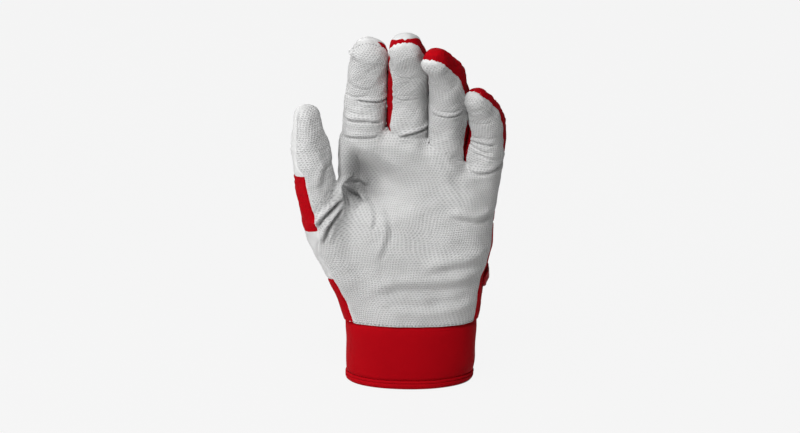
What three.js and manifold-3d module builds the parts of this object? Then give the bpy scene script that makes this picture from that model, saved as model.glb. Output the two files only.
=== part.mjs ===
// A left-hand batting glove, worn by nobody, palm towards -Y and fingers up.
// Millimetres, +Z up. The origin is the centre of the wrist opening, on the plane of the cuff's rim.
// Every panel is a thin shell cut from the hand form along the seams, and the panels part at the
// flex creases: each finger and the thumb bend at a base crease and at a middle crease.
import * as THREE from 'three';
import { mergeVertices } from 'three/addons/utils/BufferGeometryUtils.js';
import Module from 'manifold-3d';

const wasm = await Module();
wasm.setup();

// Driving dimensions: walls and clearances
const LEATHER_WALL = 1.2;
const CUFF_WALL = 2.4;
const SEAM_GAP = 0.3;
const CREASE_GAP = 0.4;
const FINGER_GAP = 1;
const HINGE_PROUD = 0.2;

// Driving dimensions: cuff, a knitted band with a rolled hem
const CUFF_WIDTH = 74.6;
const CUFF_DEPTH = 50;
const CUFF_HEIGHT = 36.5;
const HEM_HEIGHT = 4.6;
const HEM_PROUD = 0.9;
const HEM_ROUND = 1.5;
const SECTION_POWER = 2.5;

// Driving dimensions: the hand form above the cuff, in heights over the cuff's top edge
const WRIST_HEIGHT = 12;
const THENAR_HEIGHT = 26;
const PALM_HEIGHT = 58;
const KNUCKLE_HEIGHT = 80;
const CROTCH_DROP = 3;
const PALM_FRONT = -23;
const KNUCKLE_FRONT = -20.5;
const KNUCKLE_BACK = 7.5;
const PALM_BACK = 14;
const THUMB_SIDE_X = -36.6;
const OUTER_SIDE_X = 49;
const INDEX_LEFT_X = -39.8;

// Driving dimensions: closure on the back of the wrist
const STRAP_BOTTOM = 10.5;
const STRAP_HEIGHT = 23;
const STRAP_WALL = 1.2;
const HOOK_WALL = 0.7;
const LOOP_WALL = 0.7;
const STRAP_START_DEG = 118;
const STRAP_END_DEG = -6;
const ANCHOR_SPAN_DEG = 14;
const LOOP_MARGIN = 2.5;
const HOOK_MARGIN = 3.5;
const TAB_SPAN_DEG = 24;
const TAB_GAP_DEG = 1;
const TAB_MARGIN = 1.5;
const VENT_WIDTH = 6;
const VENT_HEIGHT = 37;
const VENT_X = 6;

// Driving dimensions: seams across the back of the hand
const WRIST_SEAM_HEIGHT = 42;
const WRIST_SEAM_LEAN = 19;
const COLOUR_SEAM_X = 10.75;

// The side seam, where the palm leather meets the back: [height over the cuff, y at the thumb side,
// y at the little finger's side]. The leather narrows to the front towards the wrist.
const SIDE_SEAM = [
  [-20, -15, -11],
  [14, -15, -11],
  [26, -15.5, -8],
  [44, -16.5, -5],
  [58, -16, -3],
  [84, 1, 2],
  [150, 1, 2],
];

// Digits. Lengths run from the base crease: to the middle crease, to the end joint, to the tip's dome.
// Curls lean each length from upright towards the palm, and lean tips it to the little finger's side.
// Half sizes are at the base crease, the middle crease, the end joint and the dome.
const ROOT_LENGTH = 30;
const ROOT_TAPER = 3;
const SEAM_FRONT = -1.5;
const GUSSET_WIDTH = 6;
const FINGERS = [
  {
    name: 'index', baseHeight: 112, baseY: -8, lengths: [22, 17, 10.5], curls: [7, 21, 36],
    leans: [2.5, 2.5, 2], roll: 3, sides: ['right'],
    halfWidths: [12.6, 11.8, 10.8, 9.6], halfDepths: [12.5, 11.6, 10.4, 9.2],
  },
  {
    name: 'middle', baseHeight: 112.5, baseY: -8, lengths: [24, 20.5, 13], curls: [13, 30, 44],
    leans: [0, 0, 0], roll: 0, sides: ['left', 'right'],
    halfWidths: [11.6, 11.1, 10.3, 9.1], halfDepths: [12.5, 11.6, 10.4, 9],
  },
  {
    name: 'ring', baseHeight: 104, baseY: -9, lengths: [25, 23, 14], curls: [15, 32, 50],
    leans: [0.5, -2, -11], roll: 9, sides: ['left', 'right'],
    halfWidths: [10.1, 10.4, 9.9, 8.4], halfDepths: [12, 11.2, 10, 8.6],
  },
  {
    name: 'pinky', baseHeight: 94, baseY: -8, lengths: [19, 16, 10], curls: [15, 30, 46],
    leans: [4.5, -5, -13], roll: 12, sides: ['left', 'right'],
    halfWidths: [9.9, 10.3, 9.2, 7.6], halfDepths: [11, 10.2, 9, 7.6],
  },
];
const THUMB = {
  name: 'thumb', baseX: -49, baseHeight: 56.5, baseY: -11, lengths: [31, 16, 18], curls: [4, 6, 8],
  leans: [-10.5, -7, -3], rootLean: -20, rootLength: 46, rootTaper: 5, roll: -50,
  halfWidths: [12.2, 11.2, 10.2, 7.8], halfDepths: [12.2, 11.2, 10.2, 8],
};
const THUMB_SEAM_FRONT = 0.5;
const WHITE_BACKS = ['index', 'middle'];

// Facets
const HAND_SIDES = 32;
const DIGIT_SIDES = 16;
const FAR = 200;

const rad = THREE.MathUtils.degToRad;
const overCuff = (height) => CUFF_HEIGHT + height;

const leather = new THREE.MeshStandardMaterial({ color: '#d2d2d2', roughness: 0.62, metalness: 0 });
const whiteCloth = new THREE.MeshStandardMaterial({ color: '#dedede', roughness: 0.8, metalness: 0 });
const redCloth = new THREE.MeshStandardMaterial({ color: '#a80618', roughness: 0.85, metalness: 0 });
const redKnit = new THREE.MeshStandardMaterial({ color: '#b00a1c', roughness: 0.9, metalness: 0 });
const redRubber = new THREE.MeshStandardMaterial({ color: '#8e0714', roughness: 0.5, metalness: 0 });
const blackHook = new THREE.MeshStandardMaterial({ color: '#1b1b1d', roughness: 0.95, metalness: 0 });

// Solids: a closed geometry becomes a manifold for cutting, and a cut one goes back to a geometry.
function solidOf(geometry) {
  const bare = geometry.index ? geometry.toNonIndexed() : geometry.clone();
  bare.deleteAttribute('normal');
  bare.deleteAttribute('uv');
  const merged = mergeVertices(bare, 1e-4);
  return new wasm.Manifold(new wasm.Mesh({
    numProp: 3,
    vertProperties: new Float32Array(merged.attributes.position.array),
    triVerts: new Uint32Array(merged.index.array),
  }));
}

function geometryOf(solid) {
  const mesh = solid.getMesh();
  const geometry = new THREE.BufferGeometry();
  geometry.setAttribute('position', new THREE.BufferAttribute(mesh.vertProperties, mesh.numProp));
  geometry.setIndex(new THREE.BufferAttribute(mesh.triVerts, 1));
  geometry.computeVertexNormals();
  return geometry;
}

// The bodies of a cut, largest first, so that slivers left at a seam can be dropped.
function bodiesOf(solid) {
  return solid.decompose().sort((a, b) => b.volume() - a.volume());
}

// A closed skin over rings of equal point counts, with strips across the two end rings.
function loft(rings) {
  const sides = rings[0].length;
  const points = rings.flat();
  const faces = [];
  for (let r = 0; r + 1 < rings.length; r++) {
    for (let i = 0; i < sides; i++) {
      const a = r * sides + i;
      const b = r * sides + (i + 1) % sides;
      faces.push(a, b, b + sides, a, b + sides, a + sides);
    }
  }
  const cap = (ring, face) => {
    face(ring, ring + 1, ring + sides - 1);
    for (let i = 1; i < sides / 2; i++) {
      const j = sides - i;
      face(ring + i, ring + i + 1, ring + j);
      if (i + 1 < j - 1) {
        face(ring + i + 1, ring + j - 1, ring + j);
      }
    }
  };
  cap(0, (a, b, c) => faces.push(a, c, b));
  cap((rings.length - 1) * sides, (a, b, c) => faces.push(a, b, c));
  const geometry = new THREE.BufferGeometry().setFromPoints(points);
  geometry.setIndex(faces);
  return solidOf(geometry);
}

// A superellipse outline, counted anticlockwise from +X.
function soften(v) {
  return Math.sign(v) * Math.abs(v) ** (2 / SECTION_POWER);
}

function outline(halfWidth, halfDepth, sides) {
  return Array.from({ length: sides }, (_, i) => {
    const angle = (i / sides) * 2 * Math.PI;
    return [halfWidth * soften(Math.cos(angle)), halfDepth * soften(Math.sin(angle))];
  });
}

// Everything on the normal's side of a plane, as far as FAR reaches.
function halfSpace(point, normal, gap = 0) {
  const box = new THREE.BoxGeometry(2 * FAR, 2 * FAR, FAR);
  box.translate(0, 0, FAR / 2 + gap);
  const turn = new THREE.Quaternion().setFromUnitVectors(new THREE.Vector3(0, 0, 1), normal);
  box.applyQuaternion(turn);
  box.translate(point.x, point.y, point.z);
  return solidOf(box);
}

// The fingers stand side by side from the thumb's side, each in a slot of its own across the palm.
let slotLeft = INDEX_LEFT_X;
for (const finger of FINGERS) {
  finger.baseX = slotLeft + finger.halfWidths[0];
  slotLeft += 2 * finger.halfWidths[0] + FINGER_GAP;
  finger.rootLean = 0;
  finger.rootLength = ROOT_LENGTH;
  finger.rootTaper = ROOT_TAPER;
}
const knuckleRight = slotLeft - FINGER_GAP;

// The line of the crotches: just under each finger's base crease, stepping down to the little finger.
const crotchLine = [];
FINGERS.forEach((finger, i) => {
  const height = finger.baseHeight - CROTCH_DROP;
  const before = i > 0 ? FINGERS[i - 1].baseHeight - CROTCH_DROP : height;
  const after = i + 1 < FINGERS.length ? FINGERS[i + 1].baseHeight - CROTCH_DROP : height;
  crotchLine.push([finger.baseX - finger.halfWidths[0], Math.min(before, height)]);
  crotchLine.push([finger.baseX, height]);
  crotchLine.push([finger.baseX + finger.halfWidths[0], Math.min(height, after)]);
});

function crotchHeight(x) {
  const next = crotchLine.findIndex((point) => point[0] >= x);
  if (next <= 0) {
    return crotchLine[next < 0 ? crotchLine.length - 1 : 0][1];
  }
  const [x0, h0] = crotchLine[next - 1];
  const [x1, h1] = crotchLine[next];
  return THREE.MathUtils.mapLinear(x, x0, x1, h0, h1);
}

// The hand form: sections by height over the cuff, from the wrist to the knuckles.
const HAND_SECTIONS = [
  {
    height: 0, left: -CUFF_WIDTH / 2 - 1, right: CUFF_WIDTH / 2, front: -CUFF_DEPTH / 2,
    back: CUFF_DEPTH / 2,
  },
  { height: WRIST_HEIGHT, left: -41, right: 39.5, front: -24.5, back: 24 },
  { height: THENAR_HEIGHT, left: -43, right: 43, front: -24.5, back: 21.5 },
  { height: PALM_HEIGHT, left: THUMB_SIDE_X, right: OUTER_SIDE_X - 2, front: PALM_FRONT, back: PALM_BACK },
  {
    height: (PALM_HEIGHT + KNUCKLE_HEIGHT) / 2, left: THUMB_SIDE_X, right: OUTER_SIDE_X,
    front: (PALM_FRONT + KNUCKLE_FRONT) / 2, back: (PALM_BACK + KNUCKLE_BACK) / 2,
  },
  {
    height: KNUCKLE_HEIGHT, left: INDEX_LEFT_X, right: knuckleRight - 1.5, front: KNUCKLE_FRONT,
    back: KNUCKLE_BACK,
  },
];

// The hand's section at a height, interpolated between the named ones.
function handSection(height) {
  const last = HAND_SECTIONS.length - 1;
  const above = HAND_SECTIONS.findIndex((s) => s.height >= height);
  const upper = HAND_SECTIONS[above < 0 ? last : Math.max(above, 1)];
  const lower = HAND_SECTIONS[HAND_SECTIONS.indexOf(upper) - 1];
  const share = (height - lower.height) / (upper.height - lower.height);
  const mix = (key) => THREE.MathUtils.lerp(lower[key], upper[key], share);
  return { height, left: mix('left'), right: mix('right'), front: mix('front'), back: mix('back') };
}

// One ring of the hand form, grown by a distance (or shrunk by a negative one).
function handRing(section, grow, heightAt) {
  const halfWidth = (section.right - section.left) / 2 + grow;
  const halfDepth = (section.back - section.front) / 2 + grow;
  const midX = (section.right + section.left) / 2;
  const midY = (section.back + section.front) / 2;
  return outline(halfWidth, halfDepth, HAND_SIDES).map(([x, y]) => new THREE.Vector3(
    midX + x, midY + y, overCuff(heightAt(midX + x)),
  ));
}

// The whole form, drawn down at the wrist by a distance and closed under the fingers by the crotches.
function handForm(grow, bottomDrop) {
  const rings = HAND_SECTIONS.map((section, i) => {
    const height = i === 0 ? section.height - bottomDrop : section.height;
    return handRing(section, grow, () => height);
  });
  const knuckles = HAND_SECTIONS[HAND_SECTIONS.length - 1];
  rings.push(handRing(knuckles, grow, (x) => crotchHeight(x) + grow));
  return loft(rings);
}

// A digit's spine: its creases, its directions and the frame at each station along it.
function direction(curlDeg, leanDeg) {
  const curl = rad(curlDeg);
  const lean = rad(leanDeg);
  return new THREE.Vector3(
    Math.sin(lean), -Math.cos(lean) * Math.sin(curl), Math.cos(lean) * Math.cos(curl),
  );
}

function spineOf(digit) {
  const { lengths, curls, leans, halfWidths, halfDepths } = digit;
  const base = new THREE.Vector3(digit.baseX, digit.baseY, overCuff(digit.baseHeight));
  const along = curls.map((curl, i) => direction(curl, leans[i]));
  const middle = base.clone().addScaledVector(along[0], lengths[0]);
  const end = middle.clone().addScaledVector(along[1], lengths[1]);
  const dome = end.clone().addScaledVector(along[2], lengths[2]);
  const rootWay = direction(curls[0] / 2, digit.rootLean);
  const root = base.clone().addScaledVector(rootWay, -digit.rootLength);
  const mean = (a, b) => a.clone().add(b).normalize();
  const stations = [
    {
      at: root, along: rootWay, width: halfWidths[0] - digit.rootTaper,
      depth: halfDepths[0] - digit.rootTaper,
    },
    { at: base, along: mean(rootWay, along[0]), width: halfWidths[0], depth: halfDepths[0] },
    { at: middle, along: mean(along[0], along[1]), width: halfWidths[1], depth: halfDepths[1] },
    { at: end, along: mean(along[1], along[2]), width: halfWidths[2], depth: halfDepths[2] },
    { at: dome, along: along[2], width: halfWidths[3], depth: halfDepths[3] },
  ];
  return { base, middle, end, dome, along, stations };
}

// The axes across and through a digit at a station: across to the little finger's side, through to the back.
function frameAt(along, rollDeg) {
  const across = new THREE.Vector3(1, 0, 0).projectOnPlane(along).normalize();
  const through = new THREE.Vector3().crossVectors(along, across);
  const roll = rad(rollDeg);
  return {
    across: across.clone().multiplyScalar(Math.cos(roll)).addScaledVector(through, -Math.sin(roll)),
    through: through.clone().multiplyScalar(Math.cos(roll)).addScaledVector(across, Math.sin(roll)),
  };
}

function digitRing(station, roll, halfWidth, halfDepth, advance = 0) {
  const { across, through } = frameAt(station.along, roll);
  return outline(halfWidth, halfDepth, DIGIT_SIDES).map(([x, y]) => station.at.clone()
    .addScaledVector(across, x)
    .addScaledVector(through, y)
    .addScaledVector(station.along, advance));
}

// The digit as a solid grown by a distance: a tube over its stations, closed by a rounded tip.
function digitForm(digit, grow, rootExtra = 0) {
  const { stations } = spineOf(digit);
  const rings = stations.map((station, i) => digitRing(
    station, digit.roll, station.width + grow, station.depth + grow, i === 0 ? -rootExtra : 0,
  ));
  const tip = stations[stations.length - 1];
  const reach = tip.depth + grow;
  for (const lift of [30, 56, 78]) {
    const narrow = Math.cos(rad(lift));
    rings.push(digitRing(
      tip, digit.roll, (tip.width + grow) * narrow, reach * narrow, reach * Math.sin(rad(lift)),
    ));
  }
  return loft(rings);
}

// The volume beside a digit's spine, following its bends from below the root to past the tip:
// across it from one place to beyond its side, and through it from beyond its front to a depth.
function alongSpine(digit, fromAcross, toDepth) {
  const { stations } = spineOf(digit);
  const beyond = FAR / 6;
  const tip = stations[stations.length - 1];
  const ends = [
    { ...stations[0], at: stations[0].at.clone().addScaledVector(stations[0].along, -ROOT_LENGTH) },
    ...stations,
    { ...tip, at: tip.at.clone().addScaledVector(tip.along, 2 * tip.depth) },
  ];
  return loft(ends.map((station) => {
    const { across, through } = frameAt(station.along, digit.roll);
    const corner = (x, y) => station.at.clone().addScaledVector(across, x).addScaledVector(through, y);
    return [
      corner(fromAcross, -beyond), corner(beyond, -beyond),
      corner(beyond, toDepth), corner(fromAcross, toDepth),
    ];
  }));
}
const inFrontOf = (digit, depth) => alongSpine(digit, -FAR / 6, depth);
const outwardOf = (digit, place) => alongSpine(digit, place, FAR / 6);

// A crease plane through a digit holds the X direction, so that the digit can bend about it.
function creasePlane(point, curlDeg) {
  const curl = rad(curlDeg);
  return { point, normal: new THREE.Vector3(0, -Math.sin(curl), Math.cos(curl)) };
}

function creasesOf(digit) {
  const { base, middle } = spineOf(digit);
  return {
    base: creasePlane(base, digit.curls[0] / 2),
    middle: creasePlane(middle, (digit.curls[0] + digit.curls[1]) / 2),
  };
}

const above = (crease) => halfSpace(crease.point, crease.normal, CREASE_GAP / 2);
const below = (crease) => halfSpace(crease.point, crease.normal.clone().negate(), CREASE_GAP / 2);

// The hinge of a crease lies across the palm side of the digit, just clear of its leather.
function hingeAt(crease, station, digit) {
  const toFront = new THREE.Vector3(0, -crease.normal.z, crease.normal.y);
  const ring = digitRing(station, digit.roll, station.width, station.depth);
  const reach = Math.max(...ring.map((p) => p.clone().sub(crease.point).dot(toFront)));
  return crease.point.clone().addScaledVector(toFront, reach + HINGE_PROUD);
}

// Assembly
const glove = new THREE.Group();
glove.name = 'batting_glove';
glove.userData.hinges = {};

function add(name, solid, material) {
  const mesh = new THREE.Mesh(geometryOf(solid), material);
  mesh.name = name;
  glove.add(mesh);
}

// Panels of one length of a finger: the front leather, the back cloth and the gussets between them.
// Where a side has no gusset the leather wraps round it to the back.
function addFingerPanels(finger, shell, part, backCloth) {
  const frontSeam = SEAM_FRONT;
  const backSeam = SEAM_FRONT + GUSSET_WIDTH;
  const half = SEAM_GAP / 2;
  let front = shell.intersect(inFrontOf(finger, frontSeam - half));
  const gussetFront = inFrontOf(finger, frontSeam + half);
  let gusset = shell.intersect(inFrontOf(finger, backSeam - half)).subtract(gussetFront);
  if (!finger.sides.includes('left')) {
    const gussetSide = outwardOf(finger, -half).subtract(inFrontOf(finger, frontSeam - half));
    front = shell.intersect(inFrontOf(finger, backSeam - half)).subtract(gussetSide);
    gusset = gusset.intersect(outwardOf(finger, half));
  }
  add(`${finger.name}_front_${part}`, bodiesOf(front)[0], leather);
  const back = shell.subtract(inFrontOf(finger, backSeam + half));
  add(`${finger.name}_back_${part}`, bodiesOf(back)[0], backCloth);
  const strips = bodiesOf(gusset).slice(0, part === 'lower' ? finger.sides.length : 1);
  const leftFirst = (a, b) => a.boundingBox().min[0] - b.boundingBox().min[0];
  strips.sort(leftFirst).forEach((strip, i) => {
    const side = part === 'lower' ? `_${finger.sides[i]}` : '';
    add(`${finger.name}_gusset_${part}${side}`, strip, redCloth);
  });
}

// A digit's shell, parted at its creases. The root stays with the hand.
function digitParts(digit) {
  const creases = creasesOf(digit);
  const shell = digitForm(digit, 0).subtract(digitForm(digit, -LEATHER_WALL, LEATHER_WALL));
  const { stations } = spineOf(digit);
  glove.userData.hinges[`${digit.name}_base`] = hingeAt(creases.base, stations[1], digit).toArray();
  glove.userData.hinges[`${digit.name}_middle`] = hingeAt(creases.middle, stations[2], digit).toArray();
  return {
    lower: shell.intersect(above(creases.base)).intersect(below(creases.middle)),
    upper: shell.intersect(above(creases.middle)),
  };
}

for (const finger of FINGERS) {
  const parts = digitParts(finger);
  const backCloth = WHITE_BACKS.includes(finger.name) ? whiteCloth : redCloth;
  addFingerPanels(finger, parts.lower, 'lower', backCloth);
  addFingerPanels(finger, parts.upper, 'upper', backCloth);
}

// The thumb: leather in front, a white cap behind its end and a red flex insert over its knuckle.
const thumbParts = digitParts(THUMB);
const thumbFront = inFrontOf(THUMB, THUMB_SEAM_FRONT - SEAM_GAP / 2);
const thumbNotBack = inFrontOf(THUMB, THUMB_SEAM_FRONT + SEAM_GAP / 2);
add('thumb_front_lower', bodiesOf(thumbParts.lower.intersect(thumbFront))[0], leather);
add('thumb_flex_insert', bodiesOf(thumbParts.lower.subtract(thumbNotBack))[0], redCloth);
add('thumb_front_upper', bodiesOf(thumbParts.upper.intersect(thumbFront))[0], leather);
add('thumb_back_cap', bodiesOf(thumbParts.upper.subtract(thumbNotBack))[0], whiteCloth);

// The hand's shell: the form with the digits' roots on it, hollow and open into every digit.
const digits = [...FINGERS, THUMB];
const rootOf = (digit, grow, extra) => digitForm(digit, grow, extra).intersect(below(creasesOf(digit).base));
let handOuter = handForm(0, 0);
let handInner = handForm(-LEATHER_WALL, LEATHER_WALL);
for (const digit of digits) {
  handOuter = handOuter.add(rootOf(digit, 0, 0));
  handInner = handInner.add(digitForm(digit, -LEATHER_WALL, -LEATHER_WALL));
}
let digitRoom = digitForm(THUMB, SEAM_GAP).intersect(above(creasesOf(THUMB).base));
for (const finger of FINGERS) {
  digitRoom = digitRoom.add(digitForm(finger, SEAM_GAP).intersect(above(creasesOf(finger).base)));
}
const cuffPlane = { point: new THREE.Vector3(0, 0, CUFF_HEIGHT), normal: new THREE.Vector3(0, 0, 1) };
const handShell = handOuter.subtract(handInner).subtract(digitRoom)
  .intersect(halfSpace(cuffPlane.point, cuffPlane.normal, SEAM_GAP));

// The volume in front of the side seam, with the seam moved back by a distance.
function inFrontOfSideSeam(shift) {
  return loft(SIDE_SEAM.map(([height, thumbSide, outerSide]) => {
    const corner = (x, y) => new THREE.Vector3(x, y, overCuff(height));
    return [
      corner(-FAR / 2, -FAR), corner(FAR / 2, -FAR),
      corner(FAR / 2, outerSide + shift), corner(-FAR / 2, thumbSide + shift),
    ];
  }));
}

add('palm_panel', bodiesOf(handShell.intersect(inFrontOfSideSeam(-SEAM_GAP / 2)))[0], leather);

// The back of the hand: a wrist panel with a vent under the strap, and two panels above it.
const backShell = handShell.subtract(inFrontOfSideSeam(SEAM_GAP / 2));
const across = new THREE.Vector3(1, 0, 0);
const wristSeam = new THREE.Vector3(0, 0, overCuff(WRIST_SEAM_HEIGHT));
const overWrist = new THREE.Vector3(-Math.sin(rad(WRIST_SEAM_LEAN)), 0, Math.cos(rad(WRIST_SEAM_LEAN)));
const colourSeam = new THREE.Vector3(COLOUR_SEAM_X, 0, 0);
const halfGap = SEAM_GAP / 2;

function ventCut() {
  const vent = new THREE.Shape();
  const half = VENT_WIDTH / 2;
  vent.moveTo(VENT_X - half, overCuff(-1));
  vent.lineTo(VENT_X + half, overCuff(-1));
  vent.lineTo(VENT_X + half, overCuff(VENT_HEIGHT - half));
  vent.absarc(VENT_X, overCuff(VENT_HEIGHT - half), half, 0, Math.PI, false);
  const prism = new THREE.ExtrudeGeometry(vent, { depth: FAR, bevelEnabled: false, curveSegments: 6 });
  prism.rotateX(Math.PI / 2);
  prism.translate(0, FAR, 0);
  return solidOf(prism);
}

const vented = backShell.subtract(ventCut());
const wristBack = vented.intersect(halfSpace(wristSeam, overWrist.clone().negate(), halfGap));
const handBack = vented.intersect(halfSpace(wristSeam, overWrist, halfGap));
const thumbSide = handBack.intersect(halfSpace(colourSeam, across.clone().negate(), halfGap));
const outerSide = handBack.intersect(halfSpace(colourSeam, across, halfGap));
add('back_wrist_panel', bodiesOf(wristBack)[0], redCloth);
add('back_thumb_panel', bodiesOf(thumbSide)[0], whiteCloth);
add('back_outer_panel', bodiesOf(outerSide)[0], redCloth);

// The cuff: a plain band over a rolled hem that the glove stands on.
function cuffRing(z, grow) {
  return outline(CUFF_WIDTH / 2 + grow, CUFF_DEPTH / 2 + grow, HAND_SIDES)
    .map(([x, y]) => new THREE.Vector3(x, y, z));
}
const cuffTop = CUFF_HEIGHT - SEAM_GAP;
const bandBottom = HEM_HEIGHT + SEAM_GAP;
const band = loft([cuffRing(bandBottom, 0), cuffRing(cuffTop, 0)])
  .subtract(loft([cuffRing(bandBottom - 1, -CUFF_WALL), cuffRing(cuffTop + 1, -CUFF_WALL)]));
add('cuff_band', band, redKnit);
const hem = loft([
  cuffRing(0, HEM_PROUD - HEM_ROUND), cuffRing(HEM_ROUND * 0.4, HEM_PROUD - 0.3),
  cuffRing(HEM_ROUND, HEM_PROUD),
  cuffRing(HEM_HEIGHT - HEM_ROUND * 0.5, HEM_PROUD), cuffRing(HEM_HEIGHT, HEM_PROUD - 0.4),
]).subtract(loft([cuffRing(-1, -CUFF_WALL), cuffRing(HEM_HEIGHT + 1, -CUFF_WALL)]));
add('cuff_hem', hem, redKnit);

// A point off the hand form, at an angle round it and a height over the cuff.
function pointAt(deg, level, grow) {
  const section = handSection(level);
  const halfWidth = (section.right - section.left) / 2 + grow;
  const halfDepth = (section.back - section.front) / 2 + grow;
  return new THREE.Vector3(
    (section.right + section.left) / 2 + halfWidth * soften(Math.cos(rad(deg))),
    (section.back + section.front) / 2 + halfDepth * soften(Math.sin(rad(deg))),
    overCuff(level),
  );
}

// A curved plate wrapped on the hand form: from one angle to another round it, between two heights,
// from an inner to an outer distance off the surface. The end is rounded over roundDeg.
function wrapped({ fromDeg, toDeg, bottom, height, inner, outer, roundDeg = 0 }) {
  const steps = Math.max(4, Math.round(Math.abs(toDeg - fromDeg) / 7));
  const middle = bottom + height / 2;
  const rings = [];
  for (let i = 0; i <= steps; i++) {
    const deg = THREE.MathUtils.lerp(fromDeg, toDeg, i / steps);
    const toEnd = Math.abs(toDeg - deg);
    const share = roundDeg ? Math.min(1, toEnd / roundDeg) : 1;
    const half = (height / 2) * Math.max(0.35, Math.sqrt(1 - (1 - share) ** 2));
    rings.push([
      pointAt(deg, middle - half, outer), pointAt(deg, middle, outer), pointAt(deg, middle + half, outer),
      pointAt(deg, middle + half, inner), pointAt(deg, middle, inner), pointAt(deg, middle - half, inner),
    ]);
  }
  return loft(rings);
}

// The closure: a loop pad on the back, and over it a strap with its hook pad and a moulded pull tab.
const loopInner = SEAM_GAP;
const hookInner = loopInner + LOOP_WALL + SEAM_GAP;
const strapInner = hookInner + HOOK_WALL + SEAM_GAP;
const tabStart = STRAP_END_DEG + TAB_SPAN_DEG;
const hookStart = (STRAP_START_DEG + tabStart) / 2;
const sewnEdge = pointAt(STRAP_START_DEG, STRAP_BOTTOM, strapInner + STRAP_WALL);
const anchor = wrapped({
  fromDeg: STRAP_START_DEG + ANCHOR_SPAN_DEG, toDeg: STRAP_START_DEG - 4, bottom: STRAP_BOTTOM,
  height: STRAP_HEIGHT, inner: loopInner, outer: strapInner + STRAP_WALL,
});
add('strap_anchor', anchor.intersect(halfSpace(sewnEdge, across.clone().negate(), halfGap)), redCloth);
add('loop_pad', wrapped({
  fromDeg: hookStart + 4, toDeg: tabStart - 4, bottom: STRAP_BOTTOM + LOOP_MARGIN,
  height: STRAP_HEIGHT - 2 * LOOP_MARGIN, inner: loopInner, outer: loopInner + LOOP_WALL, roundDeg: 10,
}), redKnit);
add('hook_pad', wrapped({
  fromDeg: hookStart, toDeg: tabStart + TAB_GAP_DEG, bottom: STRAP_BOTTOM + HOOK_MARGIN,
  height: STRAP_HEIGHT - 2 * HOOK_MARGIN, inner: hookInner, outer: hookInner + HOOK_WALL, roundDeg: 10,
}), blackHook);
const strap = wrapped({
  fromDeg: STRAP_START_DEG + 4, toDeg: tabStart + TAB_GAP_DEG, bottom: STRAP_BOTTOM, height: STRAP_HEIGHT,
  inner: strapInner, outer: strapInner + STRAP_WALL,
});
add('closure_strap', strap.intersect(halfSpace(sewnEdge, across, halfGap)), redCloth);
add('pull_tab', wrapped({
  fromDeg: tabStart, toDeg: STRAP_END_DEG, bottom: STRAP_BOTTOM + TAB_MARGIN,
  height: STRAP_HEIGHT - 2 * TAB_MARGIN, inner: hookInner, outer: strapInner + STRAP_WALL, roundDeg: 20,
}), redRubber);

// The strap swings open about its sewn edge, just clear of its outer face.
glove.userData.hinges.strap = [
  sewnEdge.x, sewnEdge.y + HINGE_PROUD, overCuff(STRAP_BOTTOM + STRAP_HEIGHT / 2),
];

export default glove;
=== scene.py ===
"""A left-hand batting glove, dressed over its frame: palm to -Y, fingers up, millimetres in the code."""
import math

import bpy
import numpy as np
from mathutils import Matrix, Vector, kdtree


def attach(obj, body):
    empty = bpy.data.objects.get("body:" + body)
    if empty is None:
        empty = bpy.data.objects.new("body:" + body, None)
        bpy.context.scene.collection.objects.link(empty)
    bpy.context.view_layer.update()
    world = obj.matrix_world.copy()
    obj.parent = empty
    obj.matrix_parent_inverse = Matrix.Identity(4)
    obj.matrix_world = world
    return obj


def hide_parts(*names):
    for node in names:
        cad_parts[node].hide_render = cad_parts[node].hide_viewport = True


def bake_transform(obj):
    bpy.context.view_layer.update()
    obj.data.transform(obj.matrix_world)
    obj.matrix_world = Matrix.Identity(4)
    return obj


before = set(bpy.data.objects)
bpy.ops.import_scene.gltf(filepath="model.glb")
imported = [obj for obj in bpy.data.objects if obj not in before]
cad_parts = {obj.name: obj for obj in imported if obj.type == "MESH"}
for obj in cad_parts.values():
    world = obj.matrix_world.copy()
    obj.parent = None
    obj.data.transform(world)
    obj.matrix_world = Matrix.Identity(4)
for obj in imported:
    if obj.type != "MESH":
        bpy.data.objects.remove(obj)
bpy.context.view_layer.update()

MM = 0.001

# Sizes shared with the part's source
CUFF_WIDTH = 74.6
CUFF_DEPTH = 50.0
CUFF_HEIGHT = 36.5
CUFF_WALL = 2.4
LEATHER_WALL = 1.2
SECTION_POWER = 2.5
RIM_POWER = 2.12
SEAM_FRONT = -1.5
GUSSET_WIDTH = 6.0
TIP_GUSSET = 2.7
THUMB_SEAM_FRONT = 0.5
COLOUR_SEAM_X = 10.75
VENT_X = 6.0
VENT_WIDTH = 6.0
VENT_TOP = CUFF_HEIGHT + 37.0

# The hand form: height, thumb side x, little finger's side x, palm y, back y
HAND_SECTIONS = np.array([
    [20.0, -37.8, 37.3, -25.0, 25.0],
    [36.5, -38.0, 38.8, -25.0, 25.0],
    [43.0, -38.4, 40.0, -24.8, 24.6],
    [48.5, -39.2, 40.4, -24.5, 24.0],
    [62.5, -42.0, 41.0, -24.5, 21.5],
    [78.0, -41.0, 45.0, -24.0, 17.8],
    [94.5, -37.0, 46.5, -23.0, 14.0],
    [105.5, -37.5, 47.9, -21.8, 10.8],
    [116.5, -40.6, 48.4, -20.5, 7.5],
    [130.0, -41.2, 48.8, -20.5, 5.6],
    [150.0, -39.0, 49.4, -20.5, 4.0],
])

# The crotches between the fingers, and the free sides: x and height
CROTCHES = [(-39.8, 149.0), (-14.1, 150.4), (10.1, 145.2), (31.3, 130.6), (51.5, 136.0)]
WEB_DROP = 0.8
WEB_VALLEY = 4.5

# The thumb parts from the hand along a slanting plane from its crotch to its outer side
THUMB_CROTCH = (-41.0, 123.0)
THUMB_OUTER = (-63.0, 97.0)

SKIN_STEP = 0.7
DIGIT_STEP = 0.55

# How far each digit's skin goes on under the hand's at its crease, and how deep it is tucked there
TUCK_LENGTH = 2.4
TUCK_DEPTH = 0.45

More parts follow.
